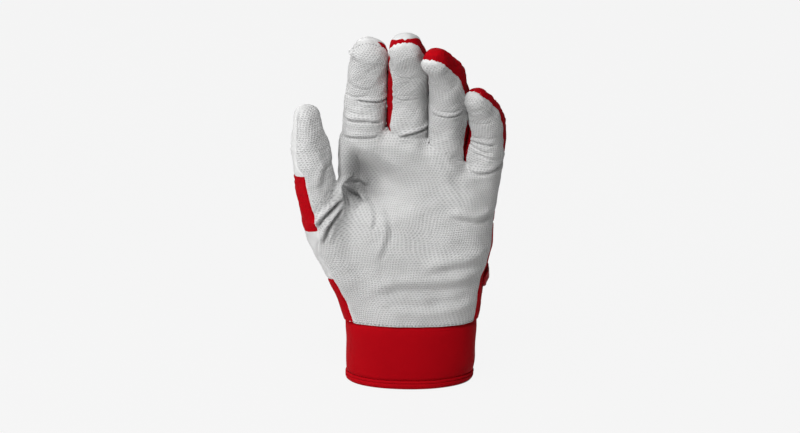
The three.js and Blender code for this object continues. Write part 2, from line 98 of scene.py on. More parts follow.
# The roundness of a digit's section, from 2, an ellipse, towards a box
DIGIT_POWER = 2.35


# Small mathematics

def ease(low, high, value):
    """Goes smoothly from 0 at low to 1 at high, which may be the smaller."""
    t = np.clip((value - low) / (high - low), 0, 1)
    return t * t * (3 - 2 * t)


def bump(value, middle, width):
    """1 in the middle, falling off softly to both sides."""
    return np.exp(-(((value - middle) / width) ** 2))


def union(a, b, soft):
    """Distance to two forms that run softly into each other."""
    soft = np.maximum(soft, 1e-6)
    h = np.maximum(soft - np.abs(a - b), 0) / soft
    return np.minimum(a, b) - h * h * soft * 0.25


def meeting(a, b, soft):
    """Distance to what two forms share, with a soft edge."""
    return -union(-a, -b, soft)


def flow(at, places, values):
    """A smooth curve through the values at their places, level past its ends."""
    places = np.asarray(places, float)
    values = np.asarray(values, float)
    slopes = np.gradient(values, places)
    at = np.clip(at, places[0], places[-1])
    i = np.clip(np.searchsorted(places, at) - 1, 0, len(places) - 2)
    gap = places[i + 1] - places[i]
    t = (at - places[i]) / gap
    return (
        (2 * t**3 - 3 * t**2 + 1) * values[i]
        + (t**3 - 2 * t**2 + t) * gap * slopes[i]
        + (3 * t**2 - 2 * t**3) * values[i + 1]
        + (t**3 - t**2) * gap * slopes[i + 1]
    )


def unit(v):
    return v / np.maximum(np.linalg.norm(v, axis=-1, keepdims=True), 1e-12)


def ripple(points, size, seed):
    """A smooth random swell of about unit height and the given size."""
    rng = np.random.default_rng(seed)
    total = np.zeros(len(points))
    for _ in range(7):
        way = unit(rng.normal(size=3)) * 2 * math.pi / (size * rng.uniform(0.7, 1.5))
        total += np.sin(points @ way + rng.uniform(0, 2 * math.pi))
    return total / 3


def superellipse(x, y, wide, deep, power):
    """How far out each place is, 1 on the outline, and how steeply that grows there."""
    across = np.abs(x) / wide
    through = np.abs(y) / deep
    share = np.maximum((across**power + through**power) ** (1 / power), 1e-3)
    steep = share ** (1 - power)
    slope = np.hypot(steep * across ** (power - 1) / wide, steep * through ** (power - 1) / deep)
    return share, np.maximum(slope, 1e-4)


# Digits

class Digit:
    """A finger or the thumb: a smooth spine with a frame and half sizes at each sample along it."""

    def __init__(self, name, base, lengths, curls, leans, roll, widths, depths, root=(30.0, 0.0, 3.0)):
        root_length, root_lean, root_taper = root
        self.name = name
        self.base = np.array(base)
        self.joints = np.cumsum([0.0, *lengths])
        self.end = self.joints[-1]
        self.root = -root_length
        self.s = np.linspace(self.root, self.end, int(self.end - self.root) + 1)
        self.base_curl = curls[0] / 2
        curl = np.radians(self.bent([self.base_curl, *curls]))
        lean = np.radians(self.bent([root_lean, *leans]))
        self.along = np.stack(
            [np.sin(lean), -np.cos(lean) * np.sin(curl), np.cos(lean) * np.cos(curl)], 1
        )
        steps = (self.along[1:] + self.along[:-1]) / 2 * np.diff(self.s)[:, None]
        path = np.vstack([np.zeros(3), np.cumsum(steps, 0)])
        start = np.array([np.interp(0, self.s, path[:, i]) for i in range(3)])
        self.path = self.base + path - start
        side = np.array([1.0, 0, 0]) - self.along[:, :1] * self.along
        across = unit(side)
        through = np.cross(self.along, across)
        turn = math.radians(roll)
        self.across = across * math.cos(turn) - through * math.sin(turn)
        self.through = through * math.cos(turn) + across * math.sin(turn)
        places = [self.root, *self.joints]
        self.wide = flow(self.s, places, [widths[0] - root_taper, *widths])
        self.deep = flow(self.s, places, [depths[0] - root_taper, *depths])
        self.reach = depths[-1]

    def bent(self, values, soft=7.0):
        """Angles along the spine that turn from one value to the next at each joint."""
        total = np.full(len(self.s), values[0], float)
        for joint, before, after in zip(self.joints, values, values[1:]):
            total += (after - before) * ease(joint - soft, joint + soft, self.s)
        return total

    def local(self, points):
        """Place along the spine, across it and through it, of each point."""
        found = []
        parts = max(1, len(points) // 60000)
        for some in np.array_split(points, parts):
            far = (self.path**2).sum(1)[None] - 2 * some @ self.path.T
            near = far.argmin(1)
            away = some - self.path[near]
            found.append(np.stack([
                self.s[near] + (away * self.along[near]).sum(1),
                (away * self.across[near]).sum(1),
                (away * self.through[near]).sum(1),
            ], 1))
        return np.concatenate(found)

    def sizes(self, s):
        return np.interp(s, self.s, self.wide), np.interp(s, self.s, self.deep)

    def distance(self, points):
        """Distance to the digit's plain form, which has a round end."""
        s, x, y = self.local(points).T
        wide, deep = self.sizes(s)
        share, slope = superellipse(x, y, wide, deep, DIGIT_POWER)
        past = np.maximum(np.maximum(s - self.end, self.root - s), 0) / self.reach
        whole = np.sqrt(share**2 + past**2)
        steep = np.hypot(share / whole * slope, past / whole / self.reach)
        return (whole - 1) / np.maximum(steep, 1e-4)

    def at(self, s, x, y):
        """The point at a place along, across and through."""
        s = np.asarray(s, float)
        pick = lambda rows: np.stack([np.interp(s, self.s, rows[:, i]) for i in range(3)], -1)
        past = np.maximum(s - self.end, 0)[..., None]
        return (
            pick(self.path) + past * pick(self.along)
            + np.asarray(x)[..., None] * pick(self.across) + np.asarray(y)[..., None] * pick(self.through)
        )

    def box(self, margin):
        grow = max(self.wide.max(), self.deep.max()) + margin
        return self.path.min(0) - grow, self.path.max(0) + grow


INDEX = Digit(
    "index", base=(-26.5, -8.0, 148.5), lengths=[22, 17, 9.4], curls=[7, 21, 36], leans=[3.8, 4.4, 5.5],
    roll=3, widths=[12.2, 11.7, 11.2, 10.2], depths=[12.5, 11.6, 10.4, 9.2],
)
MIDDLE = Digit(
    "middle", base=(-2.0, -8.0, 149.0), lengths=[24, 20.5, 11.0], curls=[13, 30, 44], leans=[0, 0, -7],
    roll=0, widths=[11.9, 11.5, 10.9, 9.4], depths=[12.5, 11.6, 10.4, 9.0],
)
RING = Digit(
    "ring", base=(20.7, -9.0, 140.5), lengths=[25, 23, 13.6], curls=[15, 32, 50], leans=[3.0, -5.5, -26],
    roll=18, widths=[10.6, 11.8, 8.9, 7.4], depths=[12.0, 11.6, 9.0, 7.8],
)
PINKY = Digit(
    "pinky", base=(40.9, -8.0, 130.5), lengths=[19, 16, 9.8], curls=[15, 30, 46], leans=[7.0, -8.5, -25],
    roll=16, widths=[10.9, 10.7, 8.8, 7.0], depths=[11.0, 10.0, 8.7, 7.0], root=(30.0, 0.0, 6.0),
)
THUMB = Digit(
    "thumb", base=(-49.2, -11.0, 93.0), lengths=[31, 16, 17.8], curls=[4, 6, 8], leans=[-10, -7, -5.4],
    roll=-50, widths=[10.7, 11.0, 10.2, 7.0], depths=[11.0, 11.0, 10.2, 7.5], root=(46.0, -20.0, 6.5),
)
FINGERS = [INDEX, MIDDLE, RING, PINKY]
DIGITS = [*FINGERS, THUMB]


def crease_plane(left, right, y, tilt):
    """A point and an upward normal of the plane through two places side by side."""
    a = np.array([left[0], y, left[1]])
    b = np.array([right[0], y, right[1]])
    lean = math.radians(tilt)
    normal = np.cross(b - a, np.array([0, math.cos(lean), math.sin(lean)]))
    return (a + b) / 2, unit(normal if normal[2] > 0 else -normal)


PLANES = {
    finger.name: crease_plane(CROTCHES[i], CROTCHES[i + 1], -10.0, finger.base_curl)
    for i, finger in enumerate(FINGERS)
}
PLANES["thumb"] = crease_plane(THUMB_OUTER, THUMB_CROTCH, -11.0, 4.0)


def above(name, points):
    """Height over a digit's base crease."""
    point, normal = PLANES[name]
    return (points - point) @ normal


# The hand form

def section_at(z):
    """The hand form's four sides at some heights."""
    return [flow(z, HAND_SECTIONS[:, 0], HAND_SECTIONS[:, i]) for i in range(1, 5)]


def hand_distance(points):
    """Distance to the hand form, with its valleys between the fingers and its top along the crotches."""
    x, y, z = points.T
    left, right, front, back = section_at(z)
    for crotch_x, crotch_z in CROTCHES[1:-1]:
        front = front + WEB_VALLEY * bump(x, crotch_x, 4.5) * ease(crotch_z - 10, crotch_z - 1, z)
    wide = (right - left) / 2
    deep = (back - front) / 2
    share, slope = superellipse(x - (left + right) / 2, y - (front + back) / 2, wide, deep, SECTION_POWER)
    top = np.interp(x, [c[0] for c in CROTCHES], [c[1] - WEB_DROP for c in CROTCHES])
    return meeting((share - 1) / slope, z - top, 3.0)


def near_box(points, box):
    low, high = box
    return np.all((points > low) & (points < high), axis=1)


# How softly a digit's root joins the hand, and how far below its plane that is reached
FINGER_BLEND = (4.0, 9.0)
THUMB_BLEND = (13.0, 5.0)


def hand_skin(points):
    """The hand with the roots of its digits, parting towards each digit's own plane."""
    hand = hand_distance(points)
    total = hand.copy()
    for digit in DIGITS:
        soft, over = THUMB_BLEND if digit is THUMB else FINGER_BLEND
        inside = near_box(points, digit.box(16))
        some = points[inside]
        blend = soft * ease(0, over, -above(digit.name, some))
        total[inside] = np.minimum(total[inside], union(hand[inside], digit.distance(some), blend))
    return total


# A surface from a distance field

CORNERS = np.array([[i, j, k] for i in (0, 1) for j in (0, 1) for k in (0, 1)])
CELL_EDGES = [
    (a, b) for a in range(8) for b in range(a + 1, 8) if np.abs(CORNERS[a] - CORNERS[b]).sum() == 1
]


def nets(field, low, high, step):
    """The surface where the field is zero, as quads with one point in each crossed cell."""
    low = np.array(low, float)
    count = np.ceil((np.array(high) - low) / step).astype(int) + 1
    grid = np.stack(np.meshgrid(*[np.arange(n) for n in count], indexing="ij"), -1)
    values = field((low + step * grid).reshape(-1, 3)).reshape(count)
    inside = values < 0
    held = np.zeros(count - 1, int)
    for corner in CORNERS:
        held += inside[tuple(slice(c, c + n - 1) for c, n in zip(corner, count))]
    active = (held > 0) & (held < 8)
    number = np.full(active.shape, -1)
    number[active] = np.arange(active.sum())
    cells = np.argwhere(active)
    total = np.zeros((len(cells), 3))
    hits = np.zeros(len(cells))
    for a, b in CELL_EDGES:
        va = values[tuple((cells + CORNERS[a]).T)]
        vb = values[tuple((cells + CORNERS[b]).T)]
        crossed = (va < 0) != (vb < 0)
        t = np.where(crossed, va / np.where(crossed, va - vb, 1), 0)
        spot = cells + CORNERS[a] + t[:, None] * (CORNERS[b] - CORNERS[a])
        total += np.where(crossed[:, None], spot, 0)
        hits += crossed
    points = low + step * total / hits[:, None]
    quads = []
    for axis in range(3):
        u, v = np.roll(np.eye(3, dtype=int), -axis - 1, 0)[:2]
        lower = np.arange(count[axis] - 1)
        here = np.take(inside, lower, axis)
        there = np.take(inside, lower + 1, axis)
        spots = np.argwhere(here != there)
        spots = spots[np.all((spots - u - v >= 0) & (spots < active.shape), axis=1)]
        ring = [number[tuple((spots - o).T)] for o in (u + v, v, 0 * u, u)]
        quad = np.stack(ring, 1)
        outward = here[tuple(spots.T)]
        quads.append(np.where(outward[:, None], quad, quad[:, ::-1]))
    return points, np.concatenate(quads)


def gradient(field, points):
    """The field's values and the way in which it grows."""
    here = field(points)
    nudge = 0.05
    slope = np.stack([(field(points + nudge * e) - here) / nudge for e in np.eye(3)], 1)
    return here, unit(slope)


def settle(field, points, quads, rounds=4):
    """Evens the points out along the surface and puts them on it."""
    pairs = np.concatenate([quads[:, [i, (i + 1) % 4]] for i in range(4)])
    pairs = np.concatenate([pairs, pairs[:, ::-1]])
    degree = np.maximum(np.bincount(pairs[:, 0], minlength=len(points)), 1)
    for _ in range(rounds):
        here, normal = gradient(field, points)
        mean = np.stack([
            np.bincount(pairs[:, 0], points[pairs[:, 1], i], len(points)) for i in range(3)
        ], 1) / degree[:, None]
        move = mean - points
        move -= (move * normal).sum(1, keepdims=True) * normal
        points = points + 0.5 * move - np.clip(here, -1, 1)[:, None] * normal
    return points


class Skin:
    """Triangles over points, each triangle with a label, cut along the zero lines of fields."""

    def __init__(self, points, quads):
        self.points = points
        self.tris = np.concatenate([quads[:, [0, 1, 2]], quads[:, [0, 2, 3]]])
        self.label = np.zeros(len(self.tris), int)

    def cut(self, field, tiny=0.08):
        """Splits along field = 0 and returns, for each triangle, which side it is on."""
        value = field(self.points)
        value = np.where(np.abs(value) < tiny, 0, value)
        sign = np.sign(value)
        tris, label = self.tris, self.label
        crossing = [sign[tris[:, i]] * sign[tris[:, (i + 1) % 3]] < 0 for i in range(3)]
        crossings = sum(c.astype(int) for c in crossing)
        done = [tris[crossings == 0]]
        labels = [label[crossings == 0]]
        edges = np.concatenate([tris[crossing[i]][:, [i, (i + 1) % 3]] for i in range(3)])
        edges = np.unique(np.sort(edges, 1), axis=0)
        count = len(self.points)
        a, b = edges.T
        t = (value[a] / (value[a] - value[b]))[:, None]
        fresh = self.points[a] + t * (self.points[b] - self.points[a])
        key = edges[:, 0] * count + edges[:, 1]

        def middle(p, q):
            return count + np.searchsorted(key, np.minimum(p, q) * count + np.maximum(p, q))

        for i in range(3):
            turned = np.roll(tris, -i, 1)
            one = (crossings == 1) & crossing[(i + 1) % 3]
            p, q, r = turned[one].T
            m = middle(q, r)
            done += [np.stack([p, q, m], 1), np.stack([p, m, r], 1)]
            labels += [label[one], label[one]]
            two = (crossings == 2) & crossing[i] & crossing[(i + 2) % 3]
            p, q, r = turned[two].T
            m, n = middle(p, q), middle(r, p)
            done += [np.stack([p, m, n], 1), np.stack([m, q, r], 1), np.stack([m, r, n], 1)]
            labels += [label[two]] * 3
        self.points = np.concatenate([self.points, fresh])
        self.tris = np.concatenate(done)
        self.label = np.concatenate(labels)
        value = np.concatenate([value, np.zeros(len(fresh))])
        return value[self.tris].mean(1) > 0

    def mark(self, field, added):
        """Adds to the label of the triangles where the field is positive."""
        side = self.cut(field)
        self.label = self.label + added * side

    def relabel(self, field, old, new):
        """Gives the triangles with an old label a new one where the field is positive."""
        side = self.cut(field)
        self.label = np.where(side & np.isin(self.label, old), new, self.label)

    def keep(self, chosen):
        """Drops all triangles but the chosen ones, and the points that are then in none."""
        self.tris = self.tris[chosen]
        self.label = self.label[chosen]
        used = np.unique(self.tris)
        number = np.full(len(self.points), -1)
        number[used] = np.arange(len(used))
        self.points = self.points[used]
        self.tris = number[self.tris]


def normals_of(points, tris):
    face = np.cross(points[tris[:, 1]] - points[tris[:, 0]], points[tris[:, 2]] - points[tris[:, 0]])
    total = np.zeros_like(points)
    for i in range(3):
        for j in range(3):
            total[:, j] += np.bincount(tris[:, i], face[:, j], len(points))
    return unit(total)


def rim_of(tris):
    """Edges that only one triangle has, in that triangle's order."""
    edges = np.concatenate([tris[:, [i, (i + 1) % 3]] for i in range(3)])
    _, back, count = np.unique(np.sort(edges, 1), axis=0, return_inverse=True, return_counts=True)
    return edges[count[back.ravel()] == 1]


# Relief: the folds and seams that stand on the plain form

# Folds across a finger's leather: place along it, slant, rise at its sides, depth, and where across it
# each starts and stops
FINGER_FOLDS = {
    "index": [
        (-1.4, 0.3, -1.8, 1.6, -0.8, 0.6), (7.8, 0.2, 0.4, 1.5, -0.85, 0.75),
        (12.2, -1.0, 1.0, 0.3, -0.85, 0.0), (20.6, 0.6, 0.6, 1.8, -0.3, 0.9),
        (25.0, 0.8, -2.0, 0.5, -0.9, -0.1), (30.5, 0.5, 1.0, 0.3, -0.7, 0.1),
    ],
    "middle": [
        (0.4, 2.8, 0.6, 2.4, -0.3, 1.0), (24.0, 0.0, 1.2, 0.35, -0.8, 0.6),
        (27.8, 0.5, 1.0, 0.2, -0.3, 0.85), (41.5, 0.0, 0.8, 0.4, -0.6, 0.6),
    ],
    "ring": [
        (23.8, 0.0, 2.2, 1.2, -0.75, 0.7), (28.6, 0.3, 1.2, 0.5, -0.5, 0.7),
        (43.0, 0.0, 1.0, 0.15, -0.7, 0.5),
    ],
    "pinky": [
        (7.4, -1.5, 0.4, 0.8, -0.4, 0.75), (11.0, -1.8, 0.4, 0.7, -0.75, 0.5),
        (14.8, 0.8, 0.6, 1.1, -0.75, 0.6), (20.5, 0.0, 1.4, 0.35, -0.6, 0.5),
        (32.0, 0.0, 1.0, 0.3, -0.7, 0.6),
    ],
    "thumb": [
        (30.0, 0.0, 1.0, 0.3, -0.4, 0.8), (36.0, 0.0, 1.0, 0.35, -0.6, 0.7),
        (47.0, 0.0, 1.0, 0.3, -0.6, 0.5),
    ],
}

# Sharp folds in the palm: points by x and height, depth and width; the full side is on the left of the
# way that the line runs
SHARP_FOLDS = [
    ([(-53.5, 92.5), (-50.8, 98.0), (-46.5, 103.5), (-42.0, 107.5), (-37.0, 111.0)], 2.3, 1.15),
    ([(-49.0, 84.5), (-47.6, 91.0), (-45.3, 97.0), (-41.5, 102.0), (-37.0, 106.0)], 2.4, 1.1),
    ([(-39.5, 119.8), (-36.4, 119.0), (-32.4, 118.0), (-26.0, 114.3)], 1.4, 1.3),
    ([(-39.5, 119.0), (-36.4, 115.9), (-33.5, 111.5), (-28.5, 105.0)], 2.4, 1.3),
    ([(-39.0, 118.5), (-37.4, 113.0), (-36.6, 109.0), (-34.5, 101.5)], 2.2, 1.3),
    ([(30.0, 127.0), (37.0, 124.6), (44.0, 125.5), (53.0, 131.5)], 1.0, 1.2),
]

# Soft swells in the palm, in the same way: the crest is on the left of the line and the hollow on its right
SOFT_FOLDS = [
    ([(-23.5, 91.5), (-20.8, 97.0), (-22.0, 103.0), (-27.5, 109.5), (-31.0, 113.5)], 0.9, 1.7),
    ([(-19.0, 73.5), (-15.5, 82.0), (-12.8, 90.0), (-13.5, 99.0), (-19.5, 109.5)], 0.8, 2.2),
    ([(20.0, 102.0), (28.7, 99.6), (38.5, 98.6), (49.0, 104.0)], 1.3, 2.6),
    ([(4.0, 68.0), (21.9, 71.2), (33.2, 73.5), (41.2, 78.2), (46.0, 83.0)], 1.3, 4.0),
    ([(-27.0, 55.0), (-6.3, 59.7), (16.3, 60.8), (33.2, 63.2), (39.5, 68.0), (44.0, 74.0)], 1.3, 4.2),
    ([(40.0, 54.0), (21.9, 49.7), (5.0, 48.0), (-14.0, 50.8)], 1.0, 3.6),
    ([(28.0, 126.0), (24.0, 131.5), (19.2, 138.0), (14.0, 145.2), (11.0, 150.0)], 0.7, 2.4),
    ([(30.0, 104.0), (24.5, 118.0), (17.0, 134.0), (9.0, 148.0)], 0.45, 3.4),
    ([(-50.5, 117.0), (-49.0, 126.0), (-46.0, 134.0)], 0.9, 2.6),
]


def palm_share(y):
    """1 on the palm side, 0 from the middle of the hand to its back."""
    return ease(0, -9, y)


def fade_ends(share):
    """Fades a fold out towards both ends of its line."""
    return ease(0, 0.22, share) * ease(1, 0.75, share)


def fold(t):
    """Across a sharp fold: a low swell, a narrow valley and a full swell over it."""
    return 0.8 * bump(t, 1.8, 1.4) - 0.95 * bump(t, 0, 0.7) + 0.3 * bump(t, -2.1, 1.6)


def crease(t):
    """Across a crease in a finger: a narrow valley with a low swell over it."""
    return 0.5 * bump(t, 2.0, 1.7) - 0.95 * bump(t, 0, 0.65) + 0.15 * bump(t, -2.1, 1.6)


def swell(t):
    """Across a soft fold: a hollow and a crest."""
    return bump(t, 0.9, 0.9) - 0.7 * bump(t, -0.5, 0.8)


# Where the leather of a finger ends: y on its left side low and high, at its tip, on its right side low and
# high, and the places along it between which low turns to high
LEATHER_EDGES = {
    "index": (4.5, 4.5, 0.5, 0.8, 0.2, 36, 49),
    "middle": (-8.5, -1.6, -1.8, -1.5, -1.6, 36, 50),
    "ring": (-1.5, -1.5, -2.5, -3.4, -2.3, 14, 32),
    "pinky": (-8.7, 3.0, 2.4, -1.5, -0.2, 24, 36),
}


def seams(digit, s, x):
    """Where the front seam and the back seam run, through the digit."""
    if digit is THUMB:
        line = THUMB_SEAM_FRONT + 2.1 * ease(30, 46, s) - 3.2 * ease(42, 33, s) - 1.3 * ease(31, 2, s)
        return line, line
    side = x / digit.sizes(s)[0]
    left, left_high, tip, right, right_high, low, high = LEATHER_EDGES[digit.name]
    rise = ease(low, high, s)
    grown = ease(-7, 0, s)
    left = SEAM_FRONT + (left + (left_high - left) * rise - SEAM_FRONT) * grown
    right = SEAM_FRONT + (right + (right_high - right) * rise - SEAM_FRONT) * grown
    front = left + (tip - left) * ease(-0.85, -0.1, side) + (right - tip) * ease(0.1, 0.85, side)
    front = front + 0.22 * np.sin(x * 1.7 + s * 0.9) + 0.15 * np.sin(x * 3.1 - s * 1.3)
    over = ease(digit.end - 5, digit.end + 3, s) * ease(1.0, 0.35, np.abs(side))
    plain = SEAM_FRONT + GUSSET_WIDTH
    back = plain + (tip + TIP_GUSSET - plain) * over
    # The middle finger's back comes forward in a small point over its tip
    if digit is MIDDLE:
        back = back - 1.3 * bump(x, 0.9, 0.9) * over
    # The index finger's leather goes round its outer side to the back
    if digit is INDEX:
        front = back + (np.minimum(front, back) - back) * ease(2.5, 6.5, x)
    # The little finger's outer gusset starts above its base
    if digit is PINKY:
        front = front + (back - front) * ease(9, 5.5, s) * ease(1, 4, x)
    return np.minimum(front, back - 0.3 * (digit is not INDEX)), back


def digit_relief(digit, points):
    """How far the swells, folds and seams of a digit stand off its plain form."""
    s, x, y = digit.local(points).T
    side = x / digit.sizes(s)[0]
    palm_side = ease(2, -4, y)
    total = 0.4 * ripple(points, 17, 6) + 0.28 * ripple(points, 10, 3) + 0.1 * ripple(points, 4.5, 4)
    for place, slant, rise, depth, start, stop in FINGER_FOLDS[digit.name]:
        reach = ease(start - 0.25, start + 0.25, side) * ease(stop + 0.25, stop - 0.25, side)
        bend = slant * side + rise * side**2 + 0.5 * np.sin(side * 3 + place)
        total += depth * crease(s - place - bend) * reach * palm_side
    # Fine ribs over the knuckles, on the back
    for joint in digit.joints[1:3]:
        fine = np.sin((s - joint) * 2 * math.pi / 3.4) * bump(s, joint, 5.5)
        total += 0.2 * fine * ease(3, 7, y)
    # A fold of leather at the outer corner of the index finger's tip
    if digit is INDEX:
        total += 3.0 * bump(s, digit.end + 2.5, 1.6) * bump(x, -9.6, 2.4) * bump(y, -2.5, 3.0)
    # A groove and a swelling along the leather's edge, a groove along the back, and the gusset lower between
    front, back = seams(digit, s, x)
    total += -0.5 * bump(y, front, 0.7) + 0.16 * bump(y, front - 1.7, 1.1)
    total += -0.25 * bump(y, back, 0.7)
    total -= 0.25 * ease(0.2, 1.0, y - front) * ease(0.2, 1.0, back - y)
    return total


def curved(points, count=24):
    """A smooth line through a few points."""
    points = np.array(points, float)
    at = np.concatenate([[0], np.cumsum(np.linalg.norm(np.diff(points, axis=0), axis=1))])
    even = np.linspace(0, at[-1], count)
    return np.stack([flow(even, at, points[:, i]) for i in range(points.shape[1])], 1)


def beside_line(x, z, line):
    """Distance from each place to a line, positive on its left, and the share of the line's length there."""
    line = curved(line)
    best = np.full(len(x), 1e9)
    share = np.zeros(len(x))
    for i, (start, stop) in enumerate(zip(line, line[1:])):
        dx, dz = stop - start
        t = np.clip(((x - start[0]) * dx + (z - start[1]) * dz) / (dx * dx + dz * dz), 0, 1)
        ox, oz = x - start[0] - t * dx, z - start[1] - t * dz
        far = np.hypot(ox, oz)
        nearer = far < np.abs(best)
        best = np.where(nearer, np.where(dx * oz - dz * ox < 0, -far, far), best)
        share = np.where(nearer, (i + t) / (len(line) - 1), share)
    return best, share


# The side seam: height, y at the thumb's side, y at the little finger's side
SIDE_SEAM = np.array([
    [30.0, -16.2, -12.3], [48.0, -16.6, -12.3], [56.0, -16.8, -11.6], [66.0, -16.6, -10.0],
    [78.0, -16.0, -9.8], [93.0, -5.0, -9.2], [101.0, -2.0, -6.0], [108.0, 0.0, -2.5],
    [122.0, 0.0, -2.0], [136.0, -2.0, -3.5], [149.0, -3.5, -3.5], [160.0, -3.5, -3.5],
])


# The seam over the back of the wrist: its height in the middle and its slant
WRIST_SEAM_HEIGHT = 78.5
WRIST_SEAM_SLANT = 0.344

# The gap between the thumb and the index finger: its x, and from which height it leans out
THUMB_GAP_X = -40.5
THUMB_GAP_LEAN = 0.18
THUMB_GAP_STRAIGHT = 120


def behind_side_seam(points):
    """Positive behind the seam between the palm and the back, which runs on along the thumb."""
    x, y, z = points.T
    left = flow(z, SIDE_SEAM[:, 0], SIDE_SEAM[:, 1])
    right = flow(z, SIDE_SEAM[:, 0], SIDE_SEAM[:, 2])
    plain = y - np.where(x < 0, left, right)
    s, a, b = THUMB.local(points).T
    near = ease(-16, -2, s) * ease(24, 15, np.hypot(a, b)) * ease(-34, -40, x)
    return plain * (1 - near) + (b - seams(THUMB, s, a)[0]) * near


def over_wrist_seam(points):
    return points[:, 2] - WRIST_SEAM_HEIGHT - WRIST_SEAM_SLANT * points[:, 0]


def insert_room(points):
    """Positive inside the outline of the flex insert behind the thumb's knuckle."""
    s, a, b = THUMB.local(points).T
    over_base = s - 0.3 * (a + 8) - 1.6
    under_top = 33.5 - s
    beside_front = 4.0 - a
    near_thumb = 26 - np.hypot(a, b)
    return np.minimum.reduce([over_base, under_top, beside_front, near_thumb])


def over_fingers(points):
    """Height over the base crease of the finger that each place is under."""
    slot = np.searchsorted([c[0] for c in CROTCHES[1:-1]], points[:, 0])
    heights = np.stack([above(f.name, points) for f in FINGERS])
    return heights[slot, np.arange(len(points))]


def thumb_side(points):
    """Positive on the thumb's side of the gap between it and the index finger."""
    lean = THUMB_GAP_LEAN * np.maximum(points[:, 2] - THUMB_GAP_STRAIGHT, 0)
    return THUMB_GAP_X - lean - points[:, 0]


def past_thumb(points):
    return np.minimum(above("thumb", points), thumb_side(points))


def crotch_room(points):
    """Positive on the cloth that lines the crotches between the fingers."""
    x, y, z = points.T
    gap = np.min([np.abs(x - c[0]) for c in CROTCHES[1:-1]], axis=0)
    through = y + 8
    back = np.where(x > 9.5, 10, 4.5)
    return np.minimum.reduce([over_fingers(points) + 4, through - SEAM_FRONT, back - through, 6 - gap])


def vent_room(points):
    """Positive in the vent: a slot in the back of the wrist with a round top."""
    x, y, z = points.T
    half = VENT_WIDTH / 2
    rounded = half - np.hypot(x - VENT_X, np.maximum(z - VENT_TOP + half, 0))
    return np.minimum(rounded, y)


def palm_folds(points):
    """The folds that run over the palm and on to the roots of the digits."""
    x, y, z = points.T
    total = np.zeros(len(points))
    for lines, shape in ((SHARP_FOLDS, fold), (SOFT_FOLDS, swell)):
        for line, depth, width in lines:
            beside, share = beside_line(x, z, line)
            total += depth * shape(beside / width) * fade_ends(share)
    return total * palm_share(y)


def hollow_brow(x):
    """The height of the upper edge of the hollow between the thumb and the index finger."""
    return 146 - 0.45 * np.maximum(x + 37, 0)


def hollow_depth(x, z):
    """The hollow between the thumb and the index finger: steep on the index finger's side."""
    brow = hollow_brow(x)
    dip = 8.5 * ease(-39.5, -31, x) + 1.5 * ease(-34, -20, x)
    return dip * ease(6, -20, x) * ease(brow, brow - 17, z) * ease(96, 112, z)


def painted_shade_amount(points):
    """How much painted shade darkens the leather in its hollow, its deep folds and beside the fingers, 0 to
    1.
    """
    x, y, z = points.T
    brow = hollow_brow(x)
    # Painted shade in the hollow, between the ring and little fingers, beside the middle finger, and in the
    # sharp folds
    total = ease(-40, -34, x) * ease(-13, -31, x) * ease(brow - 2, brow - 20, z) * ease(102, 116, z)
    total += 0.75 * bump(x, 27.5, 4.8) * ease(140, 147, z) * ease(178, 166, z)
    total += 0.55 * bump(x, 7, 2.8) * bump(z, 166, 15)
    for line, depth, width in SHARP_FOLDS:
        beside, share = beside_line(x, z, line)
        total += 0.2 * depth * bump(beside / width, 0, 0.9) * fade_ends(share)
    return np.clip(total, 0, 1) * palm_share(y)


# Broad forms of the palm leather: rise, or depth below 0, then middle and reach by x and by height
PALM_FORMS = [
    (-1.5, 4, 17, 100, 24),
    (-1.6, 31, 4, 147, 5),
    (1.6, -36, 18, 78, 22),
    (2.4, 34, 13, 88, 34),
    (1.0, -26, 9, 141, 8),
    (0.9, -2, 9, 139, 9),
    (0.9, 21, 8, 130, 9),
    (1.6, -37.5, 3.5, 131, 12),
]
KNUCKLE_RISE = 1.1
SEAM_DEPTH = 0.5
SEAM_HALF = 0.8


def root_share(digit, points):
    """How much of a digit's own relief its root on the hand has, 0 to 1."""
    x = points[:, 0]
    height = above(digit.name, points)
    if digit is THUMB:
        share = ease(-12, -1, height) * (thumb_side(points) > 0)
    else:
        left, right = CROTCHES[FINGERS.index(digit):][:2]
        share = ease(-10, -1, height)
        if digit is not INDEX:
            share = share * ease(-1.5, 1.5, x - left[0])
        if digit is not PINKY:
            share = share * ease(1.5, -1.5, x - right[0])
    return share * near_box(points, digit.box(3))


def hand_relief(points):
    """How far the swells, folds and seams of the hand stand off its plain form."""
    x, y, z = points.T
    total = 0.3 * ripple(points, 24, 1) + 0.15 * ripple(points, 9, 2) + 0.05 * ripple(points, 4, 5)
    calm = ease(0, 9, -over_fingers(points))
    forms = -hollow_depth(x, z)
    for rise, at_x, wide, at_z, tall in PALM_FORMS:
        forms += rise * bump(x, at_x, wide) * bump(z, at_z, tall)
    total = (total + palm_share(y) * forms) * calm + palm_folds(points)
    knuckles = sum(bump(x, f.base[0], 8) * bump(z, f.base[2] - 7, 8) for f in FINGERS)
    total += KNUCKLE_RISE * ease(0, 4, y) * calm * knuckles
    for digit in DIGITS:
        share = root_share(digit, points)
        chosen = share > 0
        total[chosen] += share[chosen] * digit_relief(digit, points[chosen])
    side_seam = behind_side_seam(points)
    wrist = over_wrist_seam(points)
    behind = side_seam > 0
    grooves = bump(side_seam, 0, SEAM_HALF) * calm + behind * bump(wrist, 0, SEAM_HALF)
    grooves += behind * (wrist > 0) * bump(x, COLOUR_SEAM_X, SEAM_HALF)
    return total - SEAM_DEPTH * grooves


# Meshes

def new_object(name, data):
    made = bpy.data.objects.new(name, data)
    bpy.context.scene.collection.objects.link(made)
    return made


